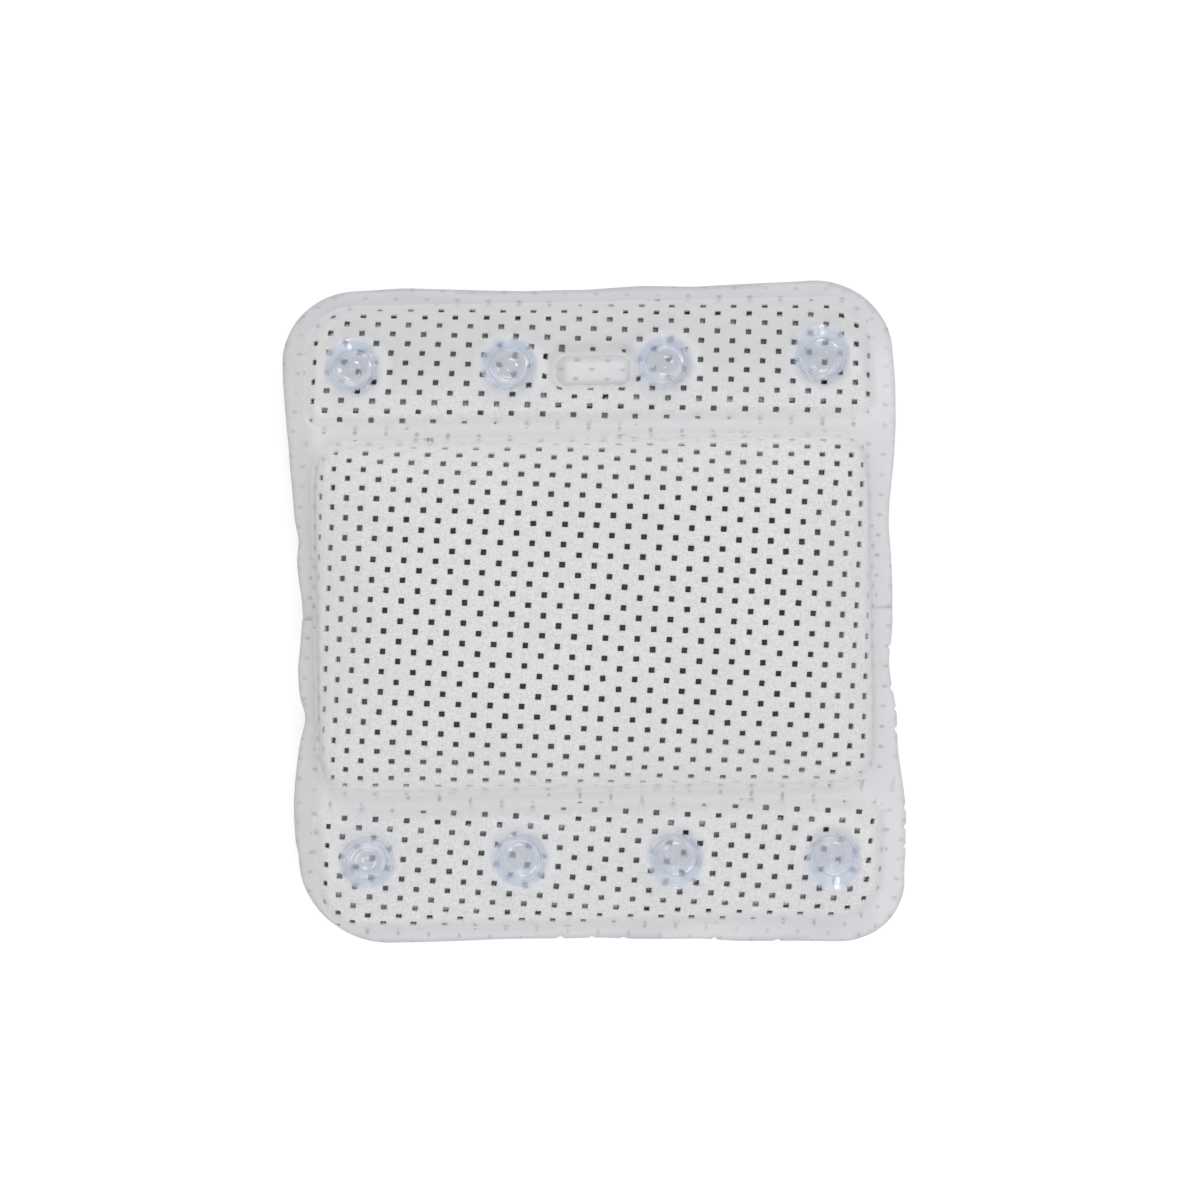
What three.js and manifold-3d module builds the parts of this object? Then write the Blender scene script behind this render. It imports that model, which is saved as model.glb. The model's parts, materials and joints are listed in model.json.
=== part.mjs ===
import * as THREE from 'three';
import { mergeVertices } from 'three/addons/utils/BufferGeometryUtils.js';
import Module from 'manifold-3d';

// A bath pillow of perforated foam sheet, lying on its front with its suction cups up.
// Millimetres, +Z up, +Y towards the upper flap, origin on the ground under its middle.

const wasm = await Module();
wasm.setup();

// Sheet and welds
const sheetThickness = 3.5;
const weldThickness = 2;
const weldTuck = 2.7;
const seatGap = 0.3;

// Padded middle
const padLength = 297;
const padWidth = 186.4;
const shoulderWidth = 40;
const frontDepth = 20;
const restCut = 0.5;
const rearRise = 18;
const crownHeight = 5;
const cornerPower = 5;
const shoulderPower = 2.2;

// Flap pads: how far they start from the fold line and pass the ends of the middle
const flapPadStart = 5;
const flapPadWidth = 67;
const flapPadOverhang = 3.5;
const flapPadCornerRadius = 25;
const foldCornerRadius = 9;
const pocketHeight = 3.4;
const padRollWidth = 4.5;

// Pressed bands beside the pads, and how far their outline is drawn in
const middleToFold = 3.8;
const rimSideWidth = 11.5;
const rimEndWidth = 9.5;
const foldDrawIn = 1.5;
const waistDrawIn = 5.5;

// Perforations of the rear sheets, in staggered rows, wider apart over the padded middle
const perforationSize = 3.6;
const flapPitchAlong = 21;
const flapPitchAcross = 13.4;
const middlePitchAlong = 30;
const middlePitchAcross = 19.2;
const middlePunchInset = 13;
const perforationMargin = 2.4;

// Suction cups, placed from the ends of the flap pads and from their middle line towards the fold
const cupsPerFlap = 4;
const cupInset = 26.75;
const upperCupOffset = 4;
const lowerCupOffset = 7;
const cupRadius = 15.4;
const cupHeight = 10;
const cupLipThickness = 0.8;
const cupLandWidth = 1.4;
const cupBaseRadius = 5.5;
const cupBaseThickness = 3.7;
const neckRadius = 2.6;
const neckClearance = 0.3;
const knobRadius = 6;
const knobPlay = 0.4;
const skirtShares = [[0.5, 0.36], [0.8, 0.74]];
const dishShares = [[0.82, 0.54], [0.54, 0.16], [0.25, 0.02]];

// Tack weld in the middle of the upper flap: a pressed frame round a raised patch
const tackLength = 41.6;
const tackWidth = 20;
const tackCornerRadius = 3;
const tackOffset = 3;
const tackFrameWidth = 6.8;
const tackPatchRise = 1.2;

// Fineness of the curved surfaces, and how far a cut runs past what it cuts
const sheetSteps = 6;
const coreSteps = 3;
const cornerSteps = 6;
const smallCornerSteps = 3;
const cupSides = 20;
const neckHoleSides = 16;
const cutOverrun = 5;

// Outline, from the pads outwards
const foldSpacing = padWidth + 2 * middleToFold;
const flapPadLength = padLength + 2 * flapPadOverhang;
const flapPadMiddle = flapPadStart + flapPadWidth / 2;
const flapPadEnd = flapPadStart + flapPadWidth;
const flapWidth = flapPadLength + 2 * rimSideWidth;
const flapLength = flapPadEnd + rimEndWidth;
const flapCornerRadius = flapPadCornerRadius + rimEndWidth;
const foldWidth = flapWidth - 2 * foldDrawIn;
const waistWidth = foldWidth - 2 * waistDrawIn;
const cupSpacing = (flapPadLength - 2 * cupInset) / (cupsPerFlap - 1);
const tackRow = flapPadMiddle - tackOffset;

// Levels above the ground, and the angle at which a flap's padded edge meets the ground
const weldMiddle = frontDepth + seatGap + weldThickness / 2;
const seatHeight = weldThickness / 2 + seatGap;
const flapHalfThickness = pocketHeight / 2 + sheetThickness;
const touchLength = flapPadEnd - padRollWidth;
const touchReach = Math.hypot(touchLength, flapHalfThickness);
const droop = Math.asin(weldMiddle / touchReach) - Math.atan2(flapHalfThickness, touchLength);

// Turns a closed geometry into a solid that can be cut and joined, and back.
function solidOf(geometry) {
  const bare = geometry.clone();
  bare.deleteAttribute('normal');
  bare.deleteAttribute('uv');
  const merged = mergeVertices(bare);
  const mesh = new wasm.Mesh({
    numProp: 3,
    vertProperties: new Float32Array(merged.attributes.position.array),
    triVerts: new Uint32Array(merged.index.array),
  });
  return new wasm.Manifold(mesh);
}

function geometryOf(solid) {
  const mesh = solid.getMesh();
  const geometry = new THREE.BufferGeometry();
  geometry.setAttribute('position', new THREE.BufferAttribute(mesh.vertProperties, 3));
  geometry.setIndex(new THREE.BufferAttribute(mesh.triVerts, 1));
  return geometry;
}

function piece(name, geometry, finish) {
  geometry.computeVertexNormals();
  const mesh = new THREE.Mesh(geometry, new THREE.MeshStandardMaterial(finish));
  mesh.name = name;
  return mesh;
}

const sheetFinish = { color: 0xdddddf, roughness: 0.55, metalness: 0 };
const weldFinish = { color: 0xd2d4d7, roughness: 0.35, metalness: 0 };
const coreFinish = { color: 0x34363a, roughness: 0.95, metalness: 0 };
const cupFinish = { color: 0xc3cbd6, roughness: 0.12, metalness: 0 };

// Closes a stack of rings with equal point counts, from the topmost to the last, with a cap on each end.
function ringSolid(rings) {
  const count = rings[0].length;
  const indices = [];
  for (let level = 0; level + 1 < rings.length; level += 1) {
    for (let point = 0; point < count; point += 1) {
      const upper = level * count + point;
      const upperNext = level * count + ((point + 1) % count);
      indices.push(upper, upper + count, upperNext);
      indices.push(upperNext, upper + count, upperNext + count);
    }
  }
  const capTriangles = (ring) => {
    const flat = ring.map((point) => new THREE.Vector2(point.x, point.y));
    return THREE.ShapeUtils.triangulateShape(flat, []);
  };
  for (const [a, b, c] of capTriangles(rings[0])) {
    indices.push(a, b, c);
  }
  const lastStart = (rings.length - 1) * count;
  for (const [a, b, c] of capTriangles(rings.at(-1))) {
    indices.push(lastStart + a, lastStart + c, lastStart + b);
  }
  const geometry = new THREE.BufferGeometry().setFromPoints(rings.flat());
  geometry.setIndex(indices);
  return geometry;
}

// A pad is a rounded rectangle whose height climbs over its shoulder, from level 1 at its foot to level 0.
function pad(rise, crown, limit) {
  return { halfLength: padLength / 2, halfWidth: padWidth / 2, rise, crown, limit };
}

function shrunk(whole, inset) {
  return {
    halfLength: whole.halfLength - inset,
    halfWidth: whole.halfWidth - inset,
    rise: whole.rise - inset,
    crown: whole.crown,
    limit: whole.limit - inset,
  };
}

function padHeight(shape, x, y) {
  const across = Math.max(0, 1 - (shape.halfLength - Math.abs(x)) / shoulderWidth);
  const along = Math.max(0, 1 - (shape.halfWidth - Math.abs(y)) / shoulderWidth);
  const level = Math.min(1, (across ** cornerPower + along ** cornerPower) ** (1 / cornerPower));
  const shoulder = shape.rise * (1 - level ** shoulderPower) ** (1 / shoulderPower);
  const crownX = 1 - (x / shape.halfLength) ** 2;
  const crownY = 1 - (y / shape.halfWidth) ** 2;
  return Math.min(shape.limit, shoulder + shape.crown * crownX * crownY);
}

function mirroredQuadrant(quadrant) {
  const turned = (signX, signY) => quadrant.map(([x, y]) => [signX * x, signY * y]);
  const second = turned(-1, 1).reverse();
  const third = turned(-1, -1);
  const fourth = turned(1, -1).reverse();
  return [...quadrant, ...second.slice(1), ...third.slice(1), ...fourth.slice(1, -1)];
}

function padContour(shape, level) {
  const sideX = shape.halfLength - shoulderWidth;
  const sideY = shape.halfWidth - shoulderWidth;
  const quadrant = [];
  for (const share of [0, 1 / 2]) {
    quadrant.push([sideX + shoulderWidth * level, sideY * share]);
  }
  for (let step = 0; step <= cornerSteps; step += 1) {
    const angle = (step / cornerSteps) * (Math.PI / 2);
    const reachX = Math.max(0, Math.cos(angle)) ** (2 / cornerPower);
    const reachY = Math.sin(angle) ** (2 / cornerPower);
    quadrant.push([sideX + shoulderWidth * level * reachX, sideY + shoulderWidth * level * reachY]);
  }
  for (const share of [2 / 3, 1 / 3, 0]) {
    quadrant.push([sideX * share, sideY + shoulderWidth * level]);
  }
  return mirroredQuadrant(quadrant);
}

function padRings(shape, steps, foot) {
  const contours = [];
  for (let step = 0; step < steps; step += 1) {
    contours.push(padContour(shape, Math.cos((step / steps) * (Math.PI / 2))));
  }
  const innermost = contours.at(-1);
  contours.push(innermost.map(([x, y]) => [x / 2, y / 2]));
  const rings = contours.map((contour) =>
    contour.map(([x, y]) => new THREE.Vector3(x, y, foot + padHeight(shape, x, y))),
  );
  return rings.reverse();
}

// Cushion: two domed sheets over a foam core
const rearPad = pad(rearRise, crownHeight, rearRise + crownHeight);
const frontPad = pad(frontDepth + restCut, 0, frontDepth);

function domedSheet(shape) {
  const outside = padRings(shape, sheetSteps, seatHeight);
  const inside = padRings(shrunk(shape, sheetThickness), sheetSteps, seatHeight);
  return ringSolid([...outside, ...inside.reverse()]);
}

// Places of a staggered pattern of holes over a length and width, from its middle outwards
function staggeredPlaces(length, width, pitchAlong, pitchAcross) {
  const rows = Math.ceil(width / pitchAcross);
  const columns = Math.ceil(length / pitchAlong);
  const places = [];
  for (let row = -rows; row <= rows; row += 1) {
    for (let column = -columns; column <= columns; column += 1) {
      places.push({ x: (column + (row % 2) / 2) * pitchAlong, y: (row * pitchAcross) / 2 });
    }
  }
  return places;
}

function punched(sheet, places, low, high) {
  const punch = new THREE.BoxGeometry(perforationSize, perforationSize, high - low);
  const punchSolid = solidOf(punch.translate(0, 0, (low + high) / 2));
  let left = sheet;
  for (const { x, y } of places) {
    left = left.subtract(punchSolid.translate(x, y, 0));
  }
  return left;
}

function perforatedDome(shape) {
  const places = staggeredPlaces(padLength, padWidth, middlePitchAlong, middlePitchAcross).filter(({ x, y }) => {
    const insideX = Math.abs(x) < shape.halfLength - middlePunchInset;
    return insideX && Math.abs(y) < shape.halfWidth - middlePunchInset;
  });
  const top = seatHeight + shape.limit + cutOverrun;
  return geometryOf(punched(solidOf(domedSheet(shape)), places, seatHeight + cutOverrun, top));
}

function cushionCore() {
  const inset = sheetThickness + seatGap;
  const top = padRings(shrunk(rearPad, inset), coreSteps, seatHeight);
  const bottom = padRings(shrunk(frontPad, inset), coreSteps, seatHeight);
  const turnedOver = bottom.map((ring) => ring.map(({ x, y, z }) => new THREE.Vector3(x, y, -z)));
  return ringSolid([...top, ...turnedOver.reverse()]);
}

function prism(shape, low, high, curveSegments = cornerSteps) {
  const block = new THREE.ExtrudeGeometry(shape, { depth: high - low, bevelEnabled: false, curveSegments });
  return solidOf(block.translate(0, 0, low));
}

// A flat band of weld thickness, centred on the weld plane
function weldPlate(shape, curveSegments = cornerSteps) {
  return prism(shape, -weldThickness / 2, weldThickness / 2, curveSegments);
}

function polygonShape(points) {
  return new THREE.Shape(points.map(([x, y]) => new THREE.Vector2(x, y)));
}

function roundedRectangle(length, width, centreY, lowRadius, highRadius) {
  const right = length / 2;
  const low = centreY - width / 2;
  const high = centreY + width / 2;
  const shape = new THREE.Shape();
  shape.absarc(right - lowRadius, low + lowRadius, lowRadius, -Math.PI / 2, 0);
  shape.absarc(right - highRadius, high - highRadius, highRadius, 0, Math.PI / 2);
  shape.absarc(highRadius - right, high - highRadius, highRadius, Math.PI / 2, Math.PI);
  shape.absarc(lowRadius - right, low + lowRadius, lowRadius, Math.PI, Math.PI * 1.5);
  return shape;
}

// Side weld of the cushion: drawn in at the waist, tucked under the foot of both sheets
function sideWeld() {
  const end = padWidth / 2 - weldTuck - seatGap;
  const edgeSteps = 2 * cornerSteps;
  const outer = [];
  for (let step = 0; step <= edgeSteps; step += 1) {
    const share = (2 * step) / edgeSteps - 1;
    const reach = (share * end) / (foldSpacing / 2);
    const halfWidth = (waistWidth + (foldWidth - waistWidth) * reach ** 2) / 2;
    outer.push([halfWidth, share * end]);
  }
  const innerX = padLength / 2 - shoulderWidth;
  const band = polygonShape([[innerX, -end], ...outer, [innerX, end]]);
  const tucked = shrunk(rearPad, weldTuck);
  const opening = prism(polygonShape(padContour(tucked, 1)), -cutOverrun, cutOverrun);
  return geometryOf(weldPlate(band).subtract(opening));
}

// Fold weld: a strip across the pillow that bends at the fold line, cushion side flat, flap side drooping
function foldWeld() {
  const cushionSide = padWidth / 2 - weldTuck - foldSpacing / 2;
  const flapSide = flapPadStart + weldTuck;
  const half = weldThickness / 2;
  const mitre = half * Math.tan(droop / 2);
  const along = (y, z) => [
    y * Math.cos(droop) + z * Math.sin(droop),
    z * Math.cos(droop) - y * Math.sin(droop),
  ];
  const section = polygonShape([
    [cushionSide, -half],
    [-mitre, -half],
    along(flapSide, -half),
    along(flapSide, half),
    [mitre, half],
    [cushionSide, half],
  ]);
  const strip = new THREE.ExtrudeGeometry(section, { depth: foldWidth, bevelEnabled: false });
  strip.translate(0, 0, -foldWidth / 2);
  const acrossPillow = new THREE.Matrix4().makeBasis(
    new THREE.Vector3(0, 1, 0),
    new THREE.Vector3(0, 0, 1),
    new THREE.Vector3(1, 0, 0),
  );
  return strip.applyMatrix4(acrossPillow);
}

// Flap sheets: a flat pad with a rolled edge, hollowed underneath by half the pocket
function flapPadOutline(inset) {
  return roundedRectangle(
    flapPadLength - 2 * inset,
    flapPadWidth - 2 * inset,
    flapPadMiddle,
    foldCornerRadius - inset,
    flapPadCornerRadius - inset,
  );
}

function flapSlab() {
  const rollHeight = flapHalfThickness - seatHeight;
  const rings = [];
  const rollSteps = 3;
  for (let step = rollSteps; step >= 0; step -= 1) {
    const angle = (step / rollSteps) * (Math.PI / 2);
    const inset = padRollWidth * (1 - Math.cos(angle));
    const height = seatHeight + rollHeight * Math.sin(angle);
    const ring = flapPadOutline(inset).extractPoints(cornerSteps).shape;
    rings.push(ring.map((point) => new THREE.Vector3(point.x, point.y, height)));
  }
  return solidOf(ringSolid(rings));
}

function tackOutline(grow) {
  const radius = tackCornerRadius + grow;
  return roundedRectangle(tackLength + 2 * grow, tackWidth + 2 * grow, tackRow, radius, radius);
}

function cupPlaces(cupRow) {
  const places = [];
  for (let index = 0; index < cupsPerFlap; index += 1) {
    places.push({ x: (index - (cupsPerFlap - 1) / 2) * cupSpacing, y: cupRow });
  }
  return places;
}

function flapSheet(hasTackWeld) {
  const pocketRoof = pocketHeight / 2;
  let pocket = prism(flapPadOutline(sheetThickness), -cutOverrun, pocketRoof);
  let sheet = flapSlab();
  if (hasTackWeld) {
    const reach = 2 * cutOverrun;
    pocket = pocket.subtract(prism(tackOutline(sheetThickness), -reach, reach, smallCornerSteps));
    sheet = sheet.subtract(prism(tackOutline(0), -reach, reach, smallCornerSteps));
  }
  return sheet.subtract(pocket);
}

function keepsClear(x, y, cups, hasTackWeld) {
  const reach = perforationSize / 2 + perforationMargin;
  const edge = reach + sheetThickness;
  const right = flapPadLength / 2 - edge;
  const low = flapPadStart + edge;
  const high = flapPadEnd - edge;
  if (Math.abs(x) > right || y < low || y > high) {
    return false;
  }
  const cornerX = Math.abs(x) - (right + edge - flapPadCornerRadius);
  const cornerY = y - (flapPadEnd - flapPadCornerRadius);
  if (cornerX > 0 && cornerY > 0 && Math.hypot(cornerX, cornerY) > flapPadCornerRadius - edge) {
    return false;
  }
  if (cups.some((cup) => Math.hypot(cup.x - x, cup.y - y) < neckRadius + neckClearance + reach)) {
    return false;
  }
  const besideTack = Math.abs(x) > tackLength / 2 + edge || Math.abs(y - tackRow) > tackWidth / 2 + edge;
  return !hasTackWeld || besideTack;
}

function perforatedSheet(cupRow, hasTackWeld) {
  const cups = cupPlaces(cupRow);
  const places = staggeredPlaces(flapPadLength, flapPadWidth, flapPitchAlong, flapPitchAcross)
    .map(({ x, y }) => ({ x, y: y + flapPadMiddle }))
    .filter(({ x, y }) => keepsClear(x, y, cups, hasTackWeld));
  const low = flapHalfThickness - cutOverrun;
  let sheet = punched(flapSheet(hasTackWeld), places, low, flapHalfThickness + cutOverrun);
  for (const cup of cups) {
    const hole = new THREE.CylinderGeometry(
      neckRadius + neckClearance,
      neckRadius + neckClearance,
      2 * cutOverrun,
      neckHoleSides,
    );
    hole.rotateX(Math.PI / 2).translate(cup.x, cup.y, flapHalfThickness);
    sheet = sheet.subtract(solidOf(hole));
  }
  return geometryOf(sheet);
}

// Rim weld: the border on three sides of the flap, open towards the fold weld
function rimWeld() {
  const start = flapPadStart + weldTuck + seatGap;
  const right = flapWidth / 2;
  const cornerX = right - flapCornerRadius;
  const cornerY = flapLength - flapCornerRadius;
  const shape = new THREE.Shape();
  shape.moveTo(-foldWidth / 2, start);
  shape.lineTo(foldWidth / 2, start);
  shape.lineTo(right, flapPadMiddle);
  shape.absarc(cornerX, cornerY, flapCornerRadius, 0, Math.PI / 2);
  shape.absarc(-cornerX, cornerY, flapCornerRadius, Math.PI / 2, Math.PI);
  shape.lineTo(-right, flapPadMiddle);
  const opening = prism(flapPadOutline(weldTuck), -cutOverrun, cutOverrun);
  return geometryOf(weldPlate(shape).subtract(opening));
}

// Tack weld: the plate under the window of both sheets, with its raised patch on the rear side
function tackWeld() {
  const plate = weldPlate(tackOutline(weldTuck), smallCornerSteps);
  const patchLength = tackLength - 2 * tackFrameWidth;
  const patchWidth = tackWidth - 2 * tackFrameWidth;
  const patchShape = roundedRectangle(patchLength, patchWidth, tackRow, patchWidth / 4, patchWidth / 4);
  const patch = prism(patchShape, 0, weldThickness / 2 + tackPatchRise, smallCornerSteps);
  return geometryOf(plate.add(patch));
}

// Suction cup, turned about its own axis, from the knob in the pocket to the lip
function suctionCup() {
  const base = flapHalfThickness + seatGap;
  const lip = base + cupHeight;
  const dishFloor = base + cupBaseThickness;
  const dishRadius = cupRadius - cupLandWidth;
  const dishDepth = lip - dishFloor;
  const skirtWidth = cupRadius - cupBaseRadius;
  const skirtHeight = cupHeight - cupLipThickness;
  const knobHalf = pocketHeight / 2 - knobPlay;
  const profile = [
    [0, -knobHalf],
    [knobRadius, -knobHalf],
    [knobRadius, knobHalf],
    [neckRadius, knobHalf],
    [neckRadius, base],
    [cupBaseRadius, base],
    ...skirtShares.map(([out, up]) => [cupBaseRadius + skirtWidth * out, base + skirtHeight * up]),
    [cupRadius, base + skirtHeight],
    [cupRadius, lip],
    [dishRadius, lip],
    ...dishShares.map(([out, up]) => [dishRadius * out, dishFloor + dishDepth * up]),
    [0, dishFloor],
  ];
  const points = profile.map(([radius, height]) => new THREE.Vector2(radius, height));
  const cup = new THREE.LatheGeometry(points, cupSides);
  return geometryOf(solidOf(cup.rotateX(Math.PI / 2)));
}

// Assembly
function turnedOver(mesh) {
  mesh.rotation.y = Math.PI;
  return mesh;
}

function flap(side, cupRow, cupNumbers, hasTackWeld) {
  const group = new THREE.Group();
  group.position.y = foldSpacing / 2;
  group.rotation.x = -droop;
  group.add(piece(`${side}_flap_rear_sheet`, perforatedSheet(cupRow, hasTackWeld), sheetFinish));
  const frontSheet = geometryOf(flapSheet(hasTackWeld));
  group.add(turnedOver(piece(`${side}_flap_front_sheet`, frontSheet, sheetFinish)));
  group.add(piece(`${side}_flap_rim_weld`, rimWeld(), weldFinish));
  if (hasTackWeld) {
    group.add(piece(`${side}_flap_tack_weld`, tackWeld(), weldFinish));
  }
  cupPlaces(cupRow).forEach((place, index) => {
    const cup = piece(`${side}_cup_${cupNumbers[index]}`, suctionCup(), cupFinish);
    cup.position.set(place.x, place.y, 0);
    group.add(cup);
  });
  return group;
}

function halfTurn(object) {
  const turned = new THREE.Group();
  turned.rotation.z = Math.PI;
  turned.add(object);
  return turned;
}

function foldWeldAt(name) {
  const weld = piece(name, foldWeld(), weldFinish);
  weld.position.y = foldSpacing / 2;
  return weld;
}

const pillow = new THREE.Group();
pillow.position.z = weldMiddle;
pillow.add(piece('cushion_rear_sheet', perforatedDome(rearPad), sheetFinish));
pillow.add(turnedOver(piece('cushion_front_sheet', domedSheet(frontPad), sheetFinish)));
pillow.add(piece('cushion_core', cushionCore(), coreFinish));
pillow.add(piece('right_side_weld', sideWeld(), weldFinish));
pillow.add(halfTurn(piece('left_side_weld', sideWeld(), weldFinish)));
pillow.add(foldWeldAt('upper_fold_weld'));
pillow.add(halfTurn(foldWeldAt('lower_fold_weld')));
pillow.add(flap('upper', flapPadMiddle - upperCupOffset, [1, 2, 3, 4], true));
pillow.add(halfTurn(flap('lower', flapPadMiddle - lowerCupOffset, [4, 3, 2, 1], false)));

export default pillow;
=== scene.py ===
import json
import math

import bmesh
import bpy
import numpy as np
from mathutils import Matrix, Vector, kdtree
from mathutils.geometry import delaunay_2d_cdt

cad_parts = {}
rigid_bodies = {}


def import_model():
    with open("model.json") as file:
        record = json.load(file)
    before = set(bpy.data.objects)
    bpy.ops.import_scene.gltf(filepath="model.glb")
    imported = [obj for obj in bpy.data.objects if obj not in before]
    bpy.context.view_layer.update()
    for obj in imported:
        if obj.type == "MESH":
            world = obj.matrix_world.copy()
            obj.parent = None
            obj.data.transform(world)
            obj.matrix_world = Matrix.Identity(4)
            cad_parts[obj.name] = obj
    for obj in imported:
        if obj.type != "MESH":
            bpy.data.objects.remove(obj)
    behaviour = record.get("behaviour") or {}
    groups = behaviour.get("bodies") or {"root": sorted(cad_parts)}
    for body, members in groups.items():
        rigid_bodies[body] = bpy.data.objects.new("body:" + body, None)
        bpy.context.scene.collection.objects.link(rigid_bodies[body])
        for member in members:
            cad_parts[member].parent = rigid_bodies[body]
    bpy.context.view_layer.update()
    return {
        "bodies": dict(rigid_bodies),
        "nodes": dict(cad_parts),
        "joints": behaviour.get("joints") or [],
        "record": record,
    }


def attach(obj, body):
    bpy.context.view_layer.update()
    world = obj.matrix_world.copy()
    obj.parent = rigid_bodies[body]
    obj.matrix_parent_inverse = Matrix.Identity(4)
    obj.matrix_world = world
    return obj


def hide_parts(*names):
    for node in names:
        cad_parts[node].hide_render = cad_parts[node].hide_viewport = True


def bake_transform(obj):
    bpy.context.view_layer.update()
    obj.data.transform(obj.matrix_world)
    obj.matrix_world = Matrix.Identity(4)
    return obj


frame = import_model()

print("frame loaded with", len(frame["nodes"]), "solids")

# The pillow lies on its front, cups up. Lengths in this script are millimetres until a mesh is made.
millimetre = 0.001


def addObject(name, data):
    made = bpy.data.objects.new(name, data)
    bpy.context.scene.collection.objects.link(made)
    return made


# Camera
photoView = {"height": 1450, "lens": 80.47, "sensor": 36, "right": 3.2, "up": 7.2, "roll": -1.22}


def setCamera():
    data = bpy.data.cameras.new("photoCamera")
    data.sensor_width, data.lens = photoView["sensor"], photoView["lens"]
    camera = addObject("photoCamera", data)
    camera.location = Vector((photoView["right"], photoView["up"], photoView["height"])) * millimetre
    camera.rotation_euler = (0, 0, math.radians(photoView["roll"]))
    bpy.context.scene.camera = camera


setCamera()
print("camera set")


# Nodes, with maths written as expressions
class Signal:  # a socket that sums and products can be written on
    def __init__(self, nodes, socket):
        self.nodes, self.socket = nodes, socket

    def maths(self, operation, *others):
        return self.nodes.maths(operation, self, *others)

    def __add__(self, other): return self.maths("ADD", other)
    def __sub__(self, other): return self.maths("SUBTRACT", other)
    def __rsub__(self, other): return self.nodes.maths("SUBTRACT", other, self)
    def __mul__(self, other): return self.maths("MULTIPLY", other)
    def __pow__(self, other): return self.maths("POWER", other)
    __radd__, __rmul__ = __add__, __mul__

    def between(self, low, high):  # 0 below low, 1 above high, smooth between them
        return self.nodes.node("MapRange", {"interpolation_type": "SMOOTHSTEP"},
                               {"Value": self, "From Min": low, "From Max": high})

    def over(self, start, full, leave, end):  # 1 from full to leave, 0 outside start and end
        return self.between(start, full) * (1 - self.between(leave, end))


class Nodes:  # of a material, of the world or of a geometry group
    def __init__(self, tree):
        self.tree = tree
        tree.nodes.clear()

    def node(self, kind, settings=None, sockets=None, output=0):
        made = self.tree.nodes.new(kind if "Node" in kind else "ShaderNode" + kind)
        for name, value in (settings or {}).items():
            setattr(made, name, value)
        for name, value in (sockets or {}).items():
            for each in value if isinstance(value, list) else [value]:
                if isinstance(each, Signal):
                    self.tree.links.new(each.socket, made.inputs[name])
                else:
                    made.inputs[name].default_value = each
        return Signal(self, made.outputs[output]) if len(made.outputs) else None

    def maths(self, operation, *terms):
        return self.node("Math", {"operation": operation}, dict(enumerate(terms)))

    def blend(self, share, first, second):  # one colour into another
        first, second = ((*c, 1) if isinstance(c, tuple) else c for c in (first, second))
        return self.node("Mix", {"data_type": "RGBA"}, {0: share, 6: first, 7: second}, 2)

    def layers(self, colour, *tints):  # colours laid over the first one, each by its own share
        for share, tint in tints:
            colour = self.blend(share, colour, tint)
        return colour

    def axes(self, place):
        return [self.node("SeparateXYZ", None, {0: place}, axis) for axis in (0, 1)]


class Finish(Nodes):  # a material
    def __init__(self, name, shown):
        self.material = bpy.data.materials.new(name)
        self.material.use_nodes = True
        self.material.diffuse_color = (*shown, 1)
        super().__init__(self.material.node_tree)
        self.place = self.node("TexCoord", None, None, 3)

    def noise(self, scale, detail=3, roughness=0.55):
        return self.node("TexNoise", None, {"Vector": self.place, "Scale": scale, "Detail": detail,
                                            "Roughness": roughness})

    def cells(self, scale):
        return self.node("TexVoronoi", {"feature": "F1"}, {"Vector": self.place, "Scale": scale})

    def marks(self, *names):  # values kept on the mesh's points
        return [self.node("Attribute", {"attribute_name": name}, None, 2) for name in names]

    def bump(self, height, strength, distance):
        return self.node("Bump", None, {"Strength": strength, "Distance": distance, "Height": height})

    def done(self, shader):
        self.node("OutputMaterial", None, {"Surface": shader})
        return self.material


# Foam sheet, pressed weld, dark foam and clear cups. Places in a material are in metres from the pillow's middle.
# Painted light and shade among these: the darker tint of the upper flap, the lighter colour at the fold lines, the
# warm tint on the cushion's left side, the darker rims of the holes and the lighter ring round each cup.
foamLook = {"white": (0.765, 0.765, 0.771), "shade": (0.705, 0.707, 0.715), "warmTintAndLeftShade": (0.740, 0.730, 0.695),
            "grain": (0.625, 0.627, 0.637), "upper": (0.615, 0.617, 0.626), "pressed": (0.634, 0.642, 0.658),
            "fold": (0.690, 0.697, 0.708), "holeRimShade": (0.60, 0.60, 0.61), "shut": (0.36, 0.37, 0.39),
            "paintedLightRoundCup": (0.80, 0.80, 0.805), "roughness": 0.54, "depth": 0.003}
# Painted light and shade among the weld's colours: the darker left side, the lighter right side, the lighter fold
# valleys, the darker strip beside the cushion's left wall, the darker band round the upper flap's far end and the
# darker frame in the tack window.
weldLook = {"film": (0.640, 0.650, 0.668), "thin": (0.590, 0.602, 0.626), "warmTintAndLeftShade": (0.570, 0.573, 0.565),
            "far": (0.545, 0.555, 0.575), "fold": (0.684, 0.692, 0.705), "right": (0.675, 0.688, 0.706),
            "shadeBesidePad": (0.50, 0.50, 0.495), "patch": (0.660, 0.660, 0.668), "frame": (0.490, 0.495, 0.505),
            "slit": (0.34, 0.35, 0.37), "roughness": 0.31, "slitLength": 1.6, "slitWidth": 1.05}
coreLook = {"foam": (0.165, 0.167, 0.173), "cell": (0.255, 0.257, 0.263), "roughness": 0.9}
cupLook = {"clear": (0.945, 0.968, 1.0), "milk": (0.70, 0.78, 0.95), "skirt": (0.50, 0.61, 0.85),
           "refraction": 1.38, "alpha": 0.63, "lipAlpha": 0.14, "roughness": 0.06, "milkRoughness": 0.34,
           "milkiest": 0.48, "clearest": 0.38}
lattice = {"along": 16.7, "across": 10.7}
foldSpan = (0.084, 0.090, 0.104, 0.110)


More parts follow.
